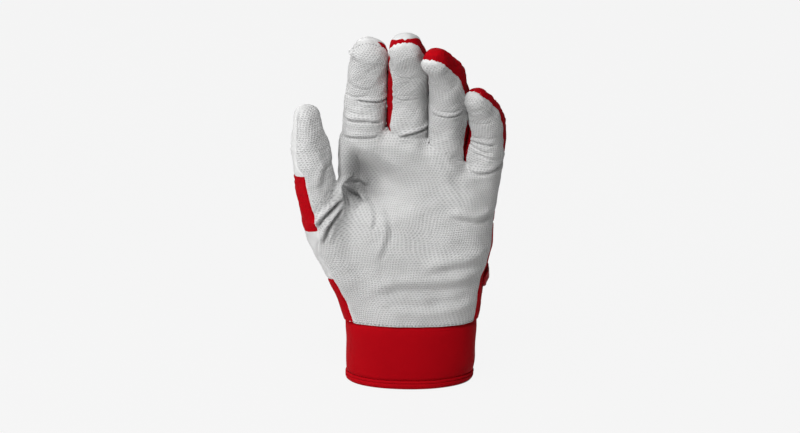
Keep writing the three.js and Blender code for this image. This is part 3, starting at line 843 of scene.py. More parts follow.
def add_mesh(name, points, tris, material, normals=None, pattern=None, shade=None):
    mesh = bpy.data.meshes.new(name)
    mesh.from_pydata((points * MM).tolist(), [], tris.tolist())
    mesh.shade_smooth()
    mesh.materials.append(material)
    if pattern is not None:
        layer = mesh.attributes.new("pattern", "FLOAT_VECTOR", "POINT")
        layer.data.foreach_set("vector", pattern.astype(np.float32).ravel())
    if shade is not None:
        layer = mesh.attributes.new("shade", "FLOAT", "POINT")
        layer.data.foreach_set("value", shade.astype(np.float32))
    mesh.update()
    if normals is not None:
        mesh.normals_split_custom_set_from_vertices(normals.tolist())
    return new_object(name, mesh)


def thickened(points, tris, normals, pattern, shade, wall):
    """A closed shell: the skin, its inner face a wall's thickness in, and the edge between them."""
    count = len(points)
    edge = rim_of(tris)
    a, b = edge.T
    inner = tris[:, ::-1] + count
    band = np.concatenate([np.stack([b, a, a + count], 1), np.stack([b, a + count, b + count], 1)])
    return (
        np.concatenate([points, points - wall * normals]),
        np.concatenate([tris, inner, band]),
        np.concatenate([normals, -normals]),
        np.concatenate([pattern, pattern]),
        np.concatenate([shade, shade]),
    )


def tube_tris(rings, sides, closed=False):
    """Triangles between rings of points in a row, and from the last to the first where it is closed."""
    tris = []
    for r in range(rings if closed else rings - 1):
        a = r * sides + np.arange(sides)
        b = r * sides + (np.arange(sides) + 1) % sides
        c, d = (a + sides) % (rings * sides), (b + sides) % (rings * sides)
        tris += [np.stack([a, b, d], 1), np.stack([a, d, c], 1)]
    return np.concatenate(tris)


def dress(piece, slot, *nodes, body=None):
    """Hides the nodes that a piece stands for, and puts it on its body where one is given. The finish that
    it is given is not used.
    """
    if nodes:
        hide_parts(*nodes)
    if body:
        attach(piece, body)


def wrap_length(x, y, front):
    """How far round from the middle of the palm side a place is, about."""
    return x + 0.75 * np.maximum(y - front, 0) * np.clip(x / 8, -1, 1)


# How far from a seam the leather's pattern still knows of it
SEAM_REACH = 6


def digit_pattern(digit, points):
    """Places on the leather, across and along, and the distance to its seam."""
    s, x, y = digit.local(points).T
    _, deep = digit.sizes(s)
    past = np.clip((s - digit.end) / digit.reach, 0, 1)
    front = -deep * np.sqrt(1 - past**2)
    edge = np.minimum(np.abs(y - seams(digit, s, x)[0]), SEAM_REACH) * (1 - 0.65 * ease(0.3, 0.9, past))
    along = np.minimum(s, digit.end) + digit.reach * np.arcsin(past)
    return np.stack([digit.base[0] + wrap_length(x, y, front), digit.base[2] + along, edge], 1)


def hollow_wrap(x, z):
    """How much longer the leather is, across from the middle of the palm, for dipping into the hollow."""
    step, left, bottom = 0.5, -60.0, 90.0
    columns = np.arange(left, 60, step)
    rows = np.arange(bottom, 152, 1.0)
    slope = np.gradient(hollow_depth(columns[None], rows[:, None]), step, axis=1)
    extra = np.cumsum((np.hypot(slope, 1) - 1) * step, axis=1)
    extra -= extra[:, -1:]
    across = np.clip((x - left) / step, 0, len(columns) - 1.001)
    up = np.clip(z - bottom, 0, len(rows) - 1.001)
    i, j = up.astype(int), across.astype(int)
    s, t = up - i, across - j
    lower = extra[i, j] * (1 - t) + extra[i, j + 1] * t
    upper = extra[i + 1, j] * (1 - t) + extra[i + 1, j + 1] * t
    return lower * (1 - s) + upper * s


def hand_pattern(points):
    """The same for the hand."""
    x, y, z = points.T
    front = flow(z, HAND_SECTIONS[:, 0], HAND_SECTIONS[:, 3])
    edge = np.minimum(np.abs(behind_side_seam(points)), SEAM_REACH)
    return np.stack([wrap_length(x, y, front) + hollow_wrap(x, z) * palm_share(y), z, edge], 1)


# The widest gap between points of the hand and of a digit that count as one at a crease
CREASE_GAP = 0.8


def joined_normals(hand, skins):
    """Evens the normals of the hand and of each digit where they meet along its crease."""
    hand.normals = normals_of(hand.points, hand.tris)
    rim = np.unique(rim_of(hand.tris))
    tree = kdtree.KDTree(len(rim))
    for i, v in enumerate(rim):
        tree.insert(hand.points[v], i)
    tree.balance()
    plain = hand.normals.copy()
    for skin in skins:
        skin.normals = normals_of(skin.points, skin.tris)
        showing = normals_of(skin.points, skin.tris[skin.showing])
        for v in skin.crease:
            _, i, gap = tree.find(skin.points[v])
            if gap < CREASE_GAP:
                other = rim[i]
                mean = unit(showing[v] + plain[other])
                skin.normals[v] = mean
                hand.normals[other] = mean


# Materials

# The dark colour that painted shade mixes the leather towards
PAINTED_SHADE_COLOUR = (0.03, 0.03, 0.03, 1)
SHEEN_ROUGHNESS = 0.45
RED_SHEEN = (0.8, 0.08, 0.1, 1)


def grey(level):
    return (level, level, level)


class Finish:
    """A material's node tree, built up by small steps."""

    def __init__(self, name, colour, rough, specular, sheen=0.0):
        self.material = bpy.data.materials.new(name)
        self.material.use_nodes = True
        self.material.diffuse_color = (*colour, 1)
        self.tree = self.material.node_tree
        self.tree.nodes.clear()
        self.shader = self.node("ShaderNodeBsdfPrincipled")
        self.shader.inputs["Base Color"].default_value = (*colour, 1)
        self.shader.inputs["Roughness"].default_value = rough
        self.shader.inputs["Specular IOR Level"].default_value = specular
        if sheen:
            self.shader.inputs["Sheen Weight"].default_value = sheen
            self.shader.inputs["Sheen Roughness"].default_value = SHEEN_ROUGHNESS
        output = self.node("ShaderNodeOutputMaterial")
        self.tree.links.new(self.shader.outputs[0], output.inputs[0])

    def put(self, socket, value):
        """Links a value that another node gives, or sets a plain one."""
        if isinstance(value, bpy.types.NodeSocket):
            self.tree.links.new(value, socket)
        else:
            socket.default_value = value

    def node(self, kind, *values, **settings):
        """A new node with its settings, and values for its first inputs."""
        made = self.tree.nodes.new(kind)
        for key, value in settings.items():
            setattr(made, key, value)
        for socket, value in zip(made.inputs, values):
            self.put(socket, value)
        return made

    def math(self, operation, a, b=0.0):
        return self.node("ShaderNodeMath", a, b, operation=operation).outputs[0]

    def weighted(self, *terms):
        """The sum of some values, each times its weight."""
        total = 0.0
        for value, weight in terms:
            total = self.math("ADD", total, self.math("MULTIPLY", value, weight))
        return total

    def range(self, value, from_low, from_high, to_low, to_high):
        """Turns a range of values smoothly into another."""
        values = (value, from_low, from_high, to_low, to_high)
        return self.node("ShaderNodeMapRange", *values, interpolation_type="SMOOTHSTEP").outputs[0]

    def attribute(self, name, output):
        return self.node("ShaderNodeAttribute", attribute_name=name).outputs[output]

    def place(self):
        return self.node("ShaderNodeNewGeometry").outputs["Position"]

    def part(self, vector, number):
        """One of the three values of a vector."""
        return self.node("ShaderNodeSeparateXYZ", vector).outputs[number]

    def noise(self, vector, scale, detail, output="Fac"):
        made = self.node("ShaderNodeTexNoise", vector)
        made.inputs["Scale"].default_value = scale
        made.inputs["Detail"].default_value = detail
        return made.outputs[output]

    def moved(self, vector, push):
        return self.node("ShaderNodeVectorMath", vector, push, operation="ADD").outputs[0]

    def warped(self, vector, scale, across, along):
        """The vector pushed about by a slow noise."""
        noise = self.noise(vector, scale, 1.0, "Color")
        reach = (2 * across, 2 * along, 0)
        back = (-across, -along, 0)
        push = self.node("ShaderNodeVectorMath", noise, reach, back, operation="MULTIPLY_ADD")
        return self.moved(vector, push.outputs[0])

    def waved(self, vector, amount, length, slant):
        """The vector pushed across by a wave that runs along it."""
        phase = self.weighted((self.part(vector, 1), 2 * math.pi / length), (self.part(vector, 0), slant))
        push = self.math("MULTIPLY", self.math("SINE", phase), amount)
        return self.moved(vector, self.node("ShaderNodeCombineXYZ", push).outputs[0])

    def dimples(self, vector, across, along, wide=0.42, narrow=0.14):
        """Small pits in brick rows: 1 in a pit, 0 between."""
        row = self.math("DIVIDE", self.part(vector, 1), along)
        odd = self.math("MODULO", self.math("FLOOR", row), 2.0)
        column = self.math("DIVIDE", self.part(vector, 0), across)
        column = self.math("ADD", column, self.math("MULTIPLY", odd, 0.5))
        u = self.math("SUBTRACT", self.math("FRACT", column), 0.5)
        v = self.math("SUBTRACT", self.math("FRACT", row), 0.5)
        v = self.math("MULTIPLY", v, 0.85)
        far = self.math("SQRT", self.weighted((u, u), (v, v)))
        return self.range(far, narrow, wide, 1.0, 0.0)

    def weave(self, vector, size):
        """A fine over-and-under of threads."""
        turn = 2 * math.pi / size
        u, v = (self.math("SINE", self.math("MULTIPLY", self.part(vector, i), turn)) for i in (0, 1))
        return self.math("MULTIPLY", u, v)

    def mix(self, low, high, share):
        made = self.node("ShaderNodeMix", share, data_type="RGBA")
        self.put(made.inputs[6], low)
        self.put(made.inputs[7], high)
        return made.outputs[2]

    def colour(self, dark, light, share, painted_shade=None):
        """Mixes two colours, and darkens the mix with painted shade where that is given."""
        result = self.mix((*dark, 1), (*light, 1), share)
        if painted_shade is not None:
            result = self.mix(result, PAINTED_SHADE_COLOUR, painted_shade)
        self.put(self.shader.inputs["Base Color"], result)

    def bump(self, height, millimetres, strength):
        made = self.node("ShaderNodeBump")
        made.inputs["Strength"].default_value = strength
        made.inputs["Distance"].default_value = millimetres * MM
        self.put(made.inputs["Height"], height)
        self.put(self.shader.inputs["Normal"], made.outputs[0])

    def roughness(self, value):
        self.put(self.shader.inputs["Roughness"], value)


def embossed_leather():
    """Leather with waving rows of pits, shallower at its seams, with painted shade in its pits and deep
    folds and a painted highlight along its seams.
    """
    f = Finish("palm_leather", grey(0.58), 0.62, 0.28)
    flat = f.attribute("pattern", "Vector")
    wavy = f.waved(flat, amount=3.2, length=34.0, slant=0.06)
    wavy = f.warped(wavy, scale=0.024, across=7.0, along=3.0)
    seam_distance = f.part(flat, 2)
    pit = f.dimples(wavy, across=2.0, along=1.27)
    pit = f.math("MULTIPLY", pit, f.range(seam_distance, 0.6, 2.0, 0.15, 1.0))
    grain = f.noise(flat, 1.6, 4.0)
    cloud = f.noise(flat, 0.06, 3.0)
    # The pits are darker than the leather between them: painted shade in them. The cloud and grain are the
    # leather's own tone.
    tone = f.range(f.weighted((pit, -0.42), (cloud, 0.4), (grain, 0.25)), -0.62, 0.5, 0.0, 0.9)
    # Lighter in a narrow strip along each seam: a painted highlight on the leather's edge
    tone = f.math("ADD", tone, f.range(seam_distance, 0.35, 0.65, 0.3, 0.0))
    # Painted shade from the shade attribute: darker in the hollow, the deep folds and beside the fingers
    painted_shade = f.math("MULTIPLY", f.attribute("shade", "Fac"), 0.6)
    f.colour(grey(0.29), (0.61, 0.61, 0.607), tone, painted_shade)
    f.roughness(f.range(grain, 0.3, 0.7, 0.56, 0.7))
    f.bump(f.weighted((grain, 0.25), (pit, -1.0)), 0.3, 0.75)
    return f.material


def smooth_white():
    f = Finish("white_cloth", grey(0.6), 0.6, 0.28, 0.04)
    flat = f.attribute("pattern", "Vector")
    grain = f.noise(flat, 2.2, 4.0)
    cloud = f.noise(flat, 0.08, 2.0)
    f.colour(grey(0.54), (0.65, 0.65, 0.646), f.weighted((cloud, 0.6), (grain, 0.4)))
    f.roughness(f.range(grain, 0.3, 0.7, 0.55, 0.66))
    f.bump(grain, 0.1, 0.6)
    return f.material


def red_fabric(name, dark, light, rough, size, depth, sheen):
    """Woven or knitted cloth with threads of a size and depth."""
    f = Finish(name, light, rough, 0.03, sheen)
    f.shader.inputs["Sheen Tint"].default_value = RED_SHEEN
    flat = f.attribute("pattern", "Vector")
    threads = f.weave(flat, size)
    grain = f.noise(flat, 1.8, 3.0)
    cloud = f.noise(flat, 0.05, 3.0)
    f.colour(dark, light, f.weighted((cloud, 0.55), (grain, 0.3), (threads, 0.12)))
    f.roughness(f.range(grain, 0.25, 0.75, rough - 0.06, rough + 0.06))
    f.bump(f.math("ADD", threads, grain), depth, 0.6)
    return f.material


def hook_tape():
    f = Finish("hook_tape", (0.02, 0.02, 0.022), 0.9, 0.2)
    hooks = f.dimples(f.attribute("pattern", "Vector"), across=0.9, along=0.9, wide=0.4, narrow=0.2)
    f.colour((0.012, 0.012, 0.013), (0.05, 0.05, 0.053), hooks)
    f.bump(hooks, 0.35, 1.0)
    return f.material


def moulded_rubber():
    f = Finish("tab_rubber", (0.34, 0.003, 0.008), 0.5, 0.07)
    grain = f.noise(f.attribute("pattern", "Vector"), 3.0, 3.0)
    f.colour((0.28, 0.0014, 0.0056), (0.39, 0.0028, 0.01), grain)
    f.roughness(f.range(grain, 0.3, 0.7, 0.36, 0.5))
    f.bump(grain, 0.08, 0.5)
    return f.material


def thread(name, dark, light):
    f = Finish(name, light, 0.7, 0.3, 0.1)
    twist = f.noise(f.place(), 1400.0, 2.0)
    f.colour(dark, light, twist)
    f.bump(twist, 0.06, 0.6)
    return f.material


LEATHER = embossed_leather()
WHITE = smooth_white()
RED = red_fabric(
    "red_cloth", (0.32, 0.0007, 0.0042), (0.46, 0.0014, 0.0063),
    rough=0.7, size=0.9, depth=0.1, sheen=0.08,
)
DEEP_RED = red_fabric(
    "gusset_cloth", (0.265, 0.0007, 0.0042), (0.405, 0.0014, 0.0063),
    rough=0.75, size=0.9, depth=0.12, sheen=0.07,
)
KNIT = red_fabric(
    "red_knit", (0.32, 0.0007, 0.0042), (0.445, 0.0014, 0.0063),
    rough=0.66, size=0.7, depth=0.07, sheen=0.1,
)
LOOP = red_fabric(
    "loop_knit", (0.22, 0.0011, 0.0042), (0.42, 0.0028, 0.0084),
    rough=0.9, size=1.3, depth=0.4, sheen=0.42,
)
HOOK = hook_tape()
RUBBER = moulded_rubber()
GREY_THREAD = thread("grey_thread", grey(0.22), grey(0.39))
RED_THREAD = thread("red_thread", (0.31, 0.003, 0.008), (0.58, 0.014, 0.028))


# The digits and the hand

# Where each digit parts at its middle crease, and the labels that its panels count from on each side
SPLIT = {"index": 12.0, "middle": 13.0, "ring": 14.5, "pinky": 10.5, "thumb": 36.0}
PARTS = {"lower": 0, "upper": 10}

# The panels of the hand by label
PALM, WRIST, BACK_THUMB, BACK_OUTER, INSERT, CROTCH = range(6)


def digit_skin(digit):
    low, high = digit.box(3)
    low[2] = digit.base[2] - 16
    points, quads = nets(digit.distance, low, high, DIGIT_STEP)
    skin = Skin(settle(digit.distance, points, quads), quads)

    def height(p):
        return above(digit.name, p)

    def behind(seam):
        def field(p):
            s, x, y = digit.local(p).T
            return y - seams(digit, s, x)[seam]
        return field

    skin.keep(skin.cut(lambda p: height(p) + TUCK_LENGTH))
    skin.cut(height)
    skin.mark(lambda p: digit.local(p)[:, 0] - SPLIT[digit.name], PARTS["upper"])
    skin.mark(behind(0), 1)
    if digit is THUMB:
        skin.relabel(insert_room, [1], 2)
    else:
        skin.mark(behind(1), 1)
    _, normal = gradient(digit.distance, skin.points)
    skin.pattern = digit_pattern(digit, skin.points)
    skin.shade = painted_shade_amount(skin.points)
    over = height(skin.points)
    skin.crease = np.flatnonzero(np.abs(over) < 0.1)
    skin.showing = over[skin.tris].mean(1) > 0
    fade = 50 if digit is THUMB else 12
    relief = digit_relief(digit, skin.points)
    relief += palm_folds(skin.points) * ease(fade + 4, fade - 4, digit.local(skin.points)[:, 0])
    relief -= TUCK_DEPTH * ease(0, -TUCK_LENGTH, over)
    skin.points = skin.points + relief[:, None] * normal
    return skin


def hand_panels():
    points, quads = nets(hand_skin, (-74, -34, 30), (60, 32, 156), SKIN_STEP)
    skin = Skin(settle(hand_skin, points, quads), quads)
    skin.keep(skin.cut(lambda p: p[:, 2] - CUFF_HEIGHT - 0.7))
    for taken in (over_fingers, past_thumb, vent_room):
        skin.keep(~skin.cut(taken))
    skin.mark(behind_side_seam, WRIST)
    skin.relabel(over_wrist_seam, [WRIST], BACK_THUMB)
    skin.relabel(lambda p: p[:, 0] - COLOUR_SEAM_X, [BACK_THUMB], BACK_OUTER)
    skin.relabel(insert_room, [BACK_THUMB], INSERT)
    skin.relabel(crotch_room, [PALM, BACK_THUMB, BACK_OUTER], CROTCH)
    _, normal = gradient(hand_skin, skin.points)
    skin.pattern = hand_pattern(skin.points)
    skin.shade = painted_shade_amount(skin.points)
    skin.points = skin.points + hand_relief(skin.points)[:, None] * normal
    return skin


def panel(skin, label, name, material, wall=0.0):
    """The triangles with a label as a piece, with a wall's thickness where it is asked for."""
    used, fresh = np.unique(skin.tris[skin.label == label], return_inverse=True)
    tris = fresh.reshape(-1, 3)
    rows = [values[used] for values in (skin.normals, skin.pattern, skin.shade)]
    points = skin.points[used]
    if wall:
        points, tris, *rows = thickened(points, tris, *rows, wall)
    return add_mesh(name, points, tris, material, *rows)


hand = hand_panels()
digit_skins = {digit.name: digit_skin(digit) for digit in DIGITS}
joined_normals(hand, digit_skins.values())


def blended(piece, digit, part):
    """Bakes the place of a digit's lower or upper piece into its mesh."""
    name = digit.name
    split = SPLIT[name]
    if part == "lower":
        wide, deep = digit.sizes(split)
        turn = np.linspace(0, 2 * math.pi, 24)
        ring = digit.at(np.full(len(turn), split), wide * np.cos(turn), deep * np.sin(turn))
        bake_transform(piece)
    else:
        start = digit.at(split + 2, 0.0, 0.0)
        end = digit.at(max(digit.joints[1] + 7, split + 14), 0.0, 0.0)
        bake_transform(piece)


def digit_panel(digit, part, number, name, material, slot, *nodes):
    """One panel of a digit, by its number from the front, as a piece."""
    piece = panel(digit_skins[digit.name], PARTS[part] + number, name, material)
    dress(piece, slot, *nodes)
    blended(piece, digit, part)


for finger in FINGERS:
    name = finger.name
    back = (WHITE, "white_cloth") if finger in (INDEX, MIDDLE) else (RED, "red_cloth")
    sides = ["right"] if finger is INDEX else ["left", "right"]
    gussets = {
        "lower": [f"{name}_gusset_lower_{side}" for side in sides],
        "upper": [f"{name}_gusset_upper"],
    }
    for part in PARTS:
        front = f"{name}_front_{part}"
        digit_panel(finger, part, 0, f"{name}_leather_{part}", LEATHER, "palm_leather", front)
        digit_panel(finger, part, 1, f"{name}_gusset_skin_{part}", DEEP_RED, "red_cloth", *gussets[part])
        digit_panel(finger, part, 2, f"{name}_back_skin_{part}", *back, f"{name}_back_{part}")

for part, caps in (("lower", []), ("upper", ["thumb_back_cap"])):
    digit_panel(THUMB, part, 0, f"thumb_leather_{part}", LEATHER, "palm_leather", f"thumb_front_{part}")
    digit_panel(THUMB, part, 1, f"thumb_back_skin_{part}", WHITE, "white_cloth", *caps)
    if part == "lower":
        digit_panel(THUMB, part, 2, "thumb_insert_skin", RED, "red_cloth", "thumb_flex_insert")

for label, name, material, slot, *nodes in (
    (PALM, "palm_leather_skin", LEATHER, "palm_leather", "palm_panel"),
    (WRIST, "back_wrist_skin", RED, "red_cloth", "back_wrist_panel"),
    (BACK_THUMB, "back_thumb_skin", WHITE, "white_cloth", "back_thumb_panel"),
    (BACK_OUTER, "back_outer_skin", RED, "red_cloth", "back_outer_panel"),
    (INSERT, "thumb_insert_root", RED, "red_cloth"),
    (CROTCH, "crotch_gussets", DEEP_RED, "red_cloth"),
):
    dress(panel(hand, label, name, material, LEATHER_WALL), slot, *nodes, body="hand")


# The cuff

def soften(v, power):
    """A sine or cosine for a superellipse of some power."""
    return np.sign(v) * np.abs(v) ** (2 / power)


def ring_loft(name, profile, material, wave, sides=200):
    """A closed ring round the wrist from a closed profile of (height, distance off the cuff's outline)."""
    angle = np.linspace(0, 2 * math.pi, sides, endpoint=False)
    rows = []
    for z, grow in profile:
        little_side = np.cos(angle)
        rounding = SECTION_POWER - RIM_POWER + 0.15 * ease(0, 0.8, little_side)
        power = SECTION_POWER - rounding * ease(28, 2, z)
        x = (CUFF_WIDTH / 2 + grow) * soften(little_side, power)
        x = x * (1 + 0.012 * ease(20, 33, z)) - 2.0 * ease(14, 0, z) * ease(0.2, 1, little_side)
        y = (CUFF_DEPTH / 2 + grow) * soften(np.sin(angle), power)
        rows.append(np.stack([x, y, np.full(sides, float(z))], 1))
    points = np.concatenate(rows)
    outward = unit(points * [1, 1, 0])
    points = points + outward * (wave * ripple(points, 26, 8))[:, None]
    length = (CUFF_WIDTH + CUFF_DEPTH) * 0.8
    pattern = np.stack([np.tile(angle / math.pi * length, len(profile)), points[:, 2], points[:, 1]], 1)
    return add_mesh(name, points, tube_tris(len(profile), sides, closed=True), material, None, pattern)


band_profile = [(5.0, -0.5), (5.4, 0.0), (7, 0.1), (10, 0.15)]
band_profile += [(z, 0.15) for z in range(13, 34, 3)]
band_profile += [(34.5, 0.0), (35.8, -0.3), (36.6, -0.8), (38, -1.4), (39.5, -1.6), (39.6, -CUFF_WALL)]
band_profile += [(z, -CUFF_WALL) for z in range(36, 4, -4)]
dress(ring_loft("cuff_band_skin", band_profile, KNIT, wave=0.25), "red_knit", "cuff_band", body="hand")

hem_profile = [(0.0, -0.9), (0.15, -0.2), (0.7, 0.45), (1.5, 0.75), (2.6, 0.8), (3.1, 0.5), (3.3, 0.3),
               (3.5, 0.5), (4.0, 0.75), (4.5, 0.6), (4.85, 0.15), (5.0, -0.4), (5.0, -CUFF_WALL),
               (3, -CUFF_WALL - 0.1), (1, -CUFF_WALL), (0.2, -CUFF_WALL + 0.5), (0.0, -1.5)]
dress(ring_loft("cuff_hem_skin", hem_profile, KNIT, wave=0.12), "red_knit", "cuff_hem", body="hand")


# The closure on the back of the wrist

def on_hand(deg, z, grow):
    """A point off the hand form, at an angle round it and a height."""
    left, right, front, back = section_at(z)
    angle = np.radians(deg)
    return np.stack([
        (left + right) / 2 + ((right - left) / 2 + grow) * soften(np.cos(angle), SECTION_POWER),
        (front + back) / 2 + ((back - front) / 2 + grow) * soften(np.sin(angle), SECTION_POWER),
        z,
    ], -1)


# How much closer to the hand the strap lies at its sewn end, and the tab at its loose end
STRAP_SINK = 1.9
TAB_SINK = 1.0
TAB_BULGE = 2.3


def strap_sink(deg, z):
    """How much closer to the hand the strap lies where no pads are under it, the same at every height."""
    return STRAP_SINK * ease(70, 82, deg) + TAB_SINK * ease(14, 2, deg)


def tab_sink(deg, z):
    """The same for the pull tab, which stands off the wrist in a soft bulge before its end."""
    return strap_sink(deg, z) - TAB_BULGE * bump(z, 61, 5) * ease(17, 7, deg) * ease(-6, 1, deg)


def no_sink(deg, z):
    return 0.0


def strip(
    name, start, stop, bottom, height, inner, outer, material, round_deg=0.0, thinner=0.0, sink=no_sink
):
    """A soft-edged plate wrapped on the hand between two angles, with rounded corners at its end."""
    columns, sides = 90, 36
    deg = np.linspace(start, stop, columns)
    narrow = np.ones(columns)
    if round_deg:
        to_end = np.minimum(np.abs(stop - deg) / round_deg, 1)
        narrow = np.sqrt(np.clip(1 - (1 - to_end) ** 2, 0.02, 1))
    half = height / 2 * narrow[:, None]
    edge = np.minimum(np.arange(columns), np.arange(columns)[::-1])
    thin = np.sqrt(np.clip(edge / 3, 0.05, 1))
    angle = np.linspace(0, 2 * math.pi, sides, endpoint=False)
    rise = soften(np.cos(angle), 9)
    out = soften(np.sin(angle), 3.2)
    mid_z = bottom + height / 2
    z = mid_z + half * rise
    flatter = thinner * np.linspace(0, 1, columns)[:, None] / 2
    grow = (inner + outer) / 2 - flatter + ((outer - inner) / 2 - flatter) * thin[:, None] * out
    grow = grow - 0.3 * (out > 0) * bump(np.abs(z - mid_z), half - 1.6, 0.5) - sink(deg[:, None], z)
    points = on_hand(np.repeat(deg, sides), z.ravel(), grow.ravel())
    i = np.arange(1, sides - 1)
    cap = np.stack([np.zeros(sides - 2, int), i, i + 1], 1)
    tris = np.concatenate([tube_tris(columns, sides), cap[:, ::-1], cap + (columns - 1) * sides])
    rings = points.reshape(columns, sides, 3)
    outward = rings - rings.mean(1, keepdims=True)
    if (outward * normals_of(points, tris).reshape(rings.shape)).sum() < 0:
        tris = tris[:, ::-1]
    pattern = np.stack([np.repeat(deg, sides) * 0.55, z.ravel(), grow.ravel()], 1)
    return add_mesh(name, points, tris, material, None, pattern)


# Heights, distances off the hand and angles round it of the closure's layers
STRAP_BOTTOM = CUFF_HEIGHT + 10.5
STRAP_HEIGHT = 23.0
PAD_IN = 0.1
LOOP_OUT = 1.0
HOOK_OUT = 2.0
STRAP_OUT = 3.5
LAYER_GAP = 0.3
TAB_END = -6.0
TAB_START = 18.0
HOOK_START = 68.0
STRAP_START = 117.8
ANCHOR_END = 118.4
ANCHOR_START = 132.0

anchor = strip(
    "strap_anchor_skin", ANCHOR_START, ANCHOR_END, STRAP_BOTTOM, STRAP_HEIGHT,
    PAD_IN, STRAP_OUT - STRAP_SINK, RED,
)
dress(anchor, "red_cloth", "strap_anchor", body="hand")
loop_pad = strip(
    "loop_pad_skin", HOOK_START + 4, TAB_START - 4, STRAP_BOTTOM + 2.5, STRAP_HEIGHT - 5,
    PAD_IN, LOOP_OUT, LOOP, round_deg=10.0,
)
dress(loop_pad, "red_knit", "loop_pad", body="hand")
hook_pad = strip(
    "hook_pad_skin", HOOK_START, TAB_START + 1, STRAP_BOTTOM + 3.5, STRAP_HEIGHT - 7,
    LOOP_OUT + LAYER_GAP, HOOK_OUT, HOOK, round_deg=10.0,
)
dress(hook_pad, "hook_tape", "hook_pad", body="strap")
closure = strip(
    "closure_strap_skin", STRAP_START, TAB_START + 1, STRAP_BOTTOM, STRAP_HEIGHT,
    HOOK_OUT + LAYER_GAP, STRAP_OUT, RED, sink=strap_sink,
)
dress(closure, "red_cloth", "closure_strap", body="strap")
tab = strip(
    "pull_tab_skin", TAB_START + 4, TAB_END, STRAP_BOTTOM + 5.5, STRAP_HEIGHT - 8,
    LOOP_OUT + LAYER_GAP, STRAP_OUT, RUBBER, round_deg=22.0, thinner=0.5, sink=tab_sink,
)
dress(tab, "tab_rubber", "pull_tab", body="strap")


# Stitches

# How far a row of stitches lies in from an edge
STITCH_INSET = 1.6


def sampled(at, far, rows):
    """Rows of three values at places along a path."""
    return np.stack([np.interp(at, far, rows[:, i]) for i in range(3)], 1)


def stitches(name, path, outward, material, slot, body, pitch, length, radius):
    """A row of short thread loops along a path, each a small capsule that dives in at both ends."""
    sides = 8
    far = np.concatenate([[0], np.cumsum(np.linalg.norm(np.diff(path, axis=0), axis=1))])
    count = max(1, int(far[-1] / pitch))
    t = np.linspace(-1, 1, 7)
    lift = radius * 0.6 * (1 - 1.8 * t**4)
    thick = radius * np.sqrt(np.clip(1 - 0.85 * t**6, 0.05, 1))
    angle = np.linspace(0, 2 * math.pi, sides, endpoint=False)[None, :, None]
    points, tris = [], []
    for number in range(count):
        at = (number + 0.5) * far[-1] / count + t * length / 2
        out = unit(sampled(at, far, outward))
        spine = sampled(at, far, path) + out * lift[:, None]
        side = np.cross(unit(np.gradient(spine, axis=0)), out)
        round_it = np.cos(angle) * side[:, None] + np.sin(angle) * out[:, None]
        points.append((spine[:, None] + thick[:, None, None] * round_it).reshape(-1, 3))
        tris.append(tube_tris(len(t), sides) + number * len(t) * sides)
    points = np.concatenate(points)
    dress(add_mesh(name, points, np.concatenate(tris), material, None, points), slot, body=body)


def on_skin(path):
    """Puts a path of points on the finished hand, and gives the way out of it."""
    for _ in range(3):
        here, normal = gradient(hand_skin, path)
        path = path - here[:, None] * normal
    return path + hand_relief(path)[:, None] * normal, normal


for name, first, last, material, slot in (
    ("palm_edge_stitches", 207, 337, GREY_THREAD, "palm_leather"),
    ("back_edge_stitches", 12, 168, RED_THREAD, "red_cloth"),
):
    edge_deg = np.linspace(first, last, 160)
    edge = on_skin(on_hand(edge_deg, np.full(160, CUFF_HEIGHT + STITCH_INSET), 0.0))
    stitches(name, *edge, material, slot, "hand", pitch=2.3, length=1.5, radius=0.24)

tip_x = np.linspace(-8.5, 5.5, 60)
tip_y = np.full(60, -1.2)
tip_share = superellipse(tip_x, tip_y, *INDEX.sizes(INDEX.end), DIGIT_POWER)[0]
tip_path = INDEX.at(INDEX.end + INDEX.reach * np.sqrt(1 - tip_share**2), tip_x, tip_y)
tip_out = gradient(INDEX.distance, tip_path)[1]
tip_path = tip_path + digit_relief(INDEX, tip_path)[:, None] * tip_out
stitches(
    "index_tip_stitches", tip_path, tip_out, GREY_THREAD, "palm_leather", "index_upper",
    pitch=1.9, length=1.1, radius=0.22,
)

strap_deg = np.linspace(116, TAB_START + 3, 120)
for number, z in enumerate((STRAP_BOTTOM + STITCH_INSET, STRAP_BOTTOM + STRAP_HEIGHT - STITCH_INSET)):
    strap_z = np.full(120, z)
    strap_path = on_hand(strap_deg, strap_z, STRAP_OUT - 0.25 - strap_sink(strap_deg, strap_z))
    strap_out = unit(on_hand(strap_deg, strap_z, STRAP_OUT + 1) - strap_path)
    stitches(
        f"strap_stitches_{number}", strap_path, strap_out, RED_THREAD, "red_cloth", "strap",
        pitch=2.3, length=1.6, radius=0.24,
    )

seam_z = np.linspace(88, 138, 90)
seam_path = np.stack([np.full(90, COLOUR_SEAM_X - 2.2), section_at(seam_z)[3], seam_z], 1)
stitches(
    "back_seam_stitches", *on_skin(seam_path), GREY_THREAD, "white_cloth", "hand",
    pitch=2.4, length=1.6, radius=0.22,
)


# Floor, light and camera

FLOOR_BOUNCE = 0.7
FLOOR_GLOW = 0.9
FLOOR_SEEN = 0.015
WORLD_LIGHT = 0.035


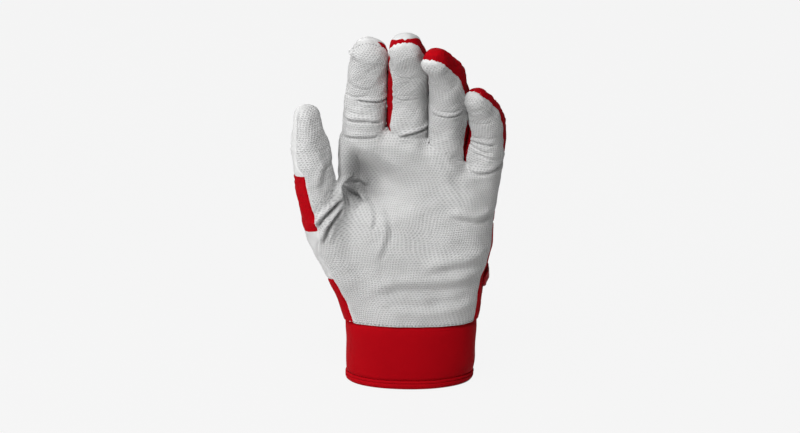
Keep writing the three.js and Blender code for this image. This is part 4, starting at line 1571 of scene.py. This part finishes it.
def floor_paint():
    """A pale floor that bounces the lamps' light. What is seen of it glows evenly, but not in the cuff."""
    f = Finish("floor_paint", grey(FLOOR_SEEN), 0.9, 0.0)
    across = f.math("DIVIDE", f.part(f.place(), 0), CUFF_WIDTH / 2 * MM)
    deep = f.math("DIVIDE", f.part(f.place(), 1), CUFF_DEPTH / 2 * MM)
    glow = f.range(f.weighted((across, across), (deep, deep)), 0.84, 0.9, 0.0, FLOOR_GLOW)
    rays = f.node("ShaderNodeLightPath").outputs
    mirrored = f.math("MAXIMUM", rays["Is Glossy Ray"], rays["Is Transmission Ray"])
    seen = f.math("MAXIMUM", rays["Is Camera Ray"], mirrored)
    f.colour(grey(FLOOR_BOUNCE), grey(FLOOR_SEEN), seen)
    f.shader.inputs["Emission Color"].default_value = (1, 1, 1, 1)
    f.put(f.shader.inputs["Emission Strength"], f.math("MULTIPLY", seen, glow))
    return f.material


floor_mesh = bpy.data.meshes.new("floor")
floor_mesh.from_pydata([(-30, -30, 0), (30, -30, 0), (30, 60, 0), (-30, 60, 0)], [], [(0, 1, 2, 3)])
floor_mesh.materials.append(floor_paint())
floor = new_object("floor", floor_mesh)
floor.location.z = -0.0004

world = bpy.data.worlds.new("studio")
world.use_nodes = True
world.node_tree.nodes["Background"].inputs[0].default_value = (1, 1, 1, 1)
world.node_tree.nodes["Background"].inputs[1].default_value = WORLD_LIGHT
bpy.context.scene.world = world


LIGHT_TARGET = Vector((0, 0, 0.1))


def area_light(name, place, size, watts):
    """A round lamp that shines at the middle of the glove."""
    light = bpy.data.lights.new(name, "AREA")
    light.shape = "DISK"
    light.size = size
    light.energy = watts
    made = new_object(name, light)
    made.location = place
    made.rotation_euler = (LIGHT_TARGET - Vector(place)).to_track_quat("-Z", "Y").to_euler()


area_light("key", (-0.78, -0.7, 0.5), size=0.45, watts=5.55)
area_light("side", (-0.85, -0.08, 0.8), size=0.45, watts=3.5)
area_light("front", (-0.1, -0.62, 0.95), size=0.4, watts=7.2)
area_light("rim", (-0.3, 1.3, 1.1), size=0.9, watts=5.6)

CAMERA_TARGET = Vector((-6.3, 0.0, 95.7)) * MM
CAMERA_DISTANCE = 1.4
CAMERA_RISE = math.radians(14)
PIXELS_PER_MM = 1.75
IMAGE_WIDTH = 800
camera_data = bpy.data.cameras.new("camera")
camera_data.sensor_width = 36
camera_data.lens = PIXELS_PER_MM * CAMERA_DISTANCE / MM / IMAGE_WIDTH * camera_data.sensor_width
camera_data.clip_start = 0.01
camera = new_object("camera", camera_data)
looking = Vector((0, math.cos(CAMERA_RISE), -math.sin(CAMERA_RISE)))
camera.location = CAMERA_TARGET - CAMERA_DISTANCE * looking
camera.rotation_euler = looking.to_track_quat("-Z", "Y").to_euler()
bpy.context.scene.camera = camera
bpy.context.scene.view_settings.view_transform = "Standard"
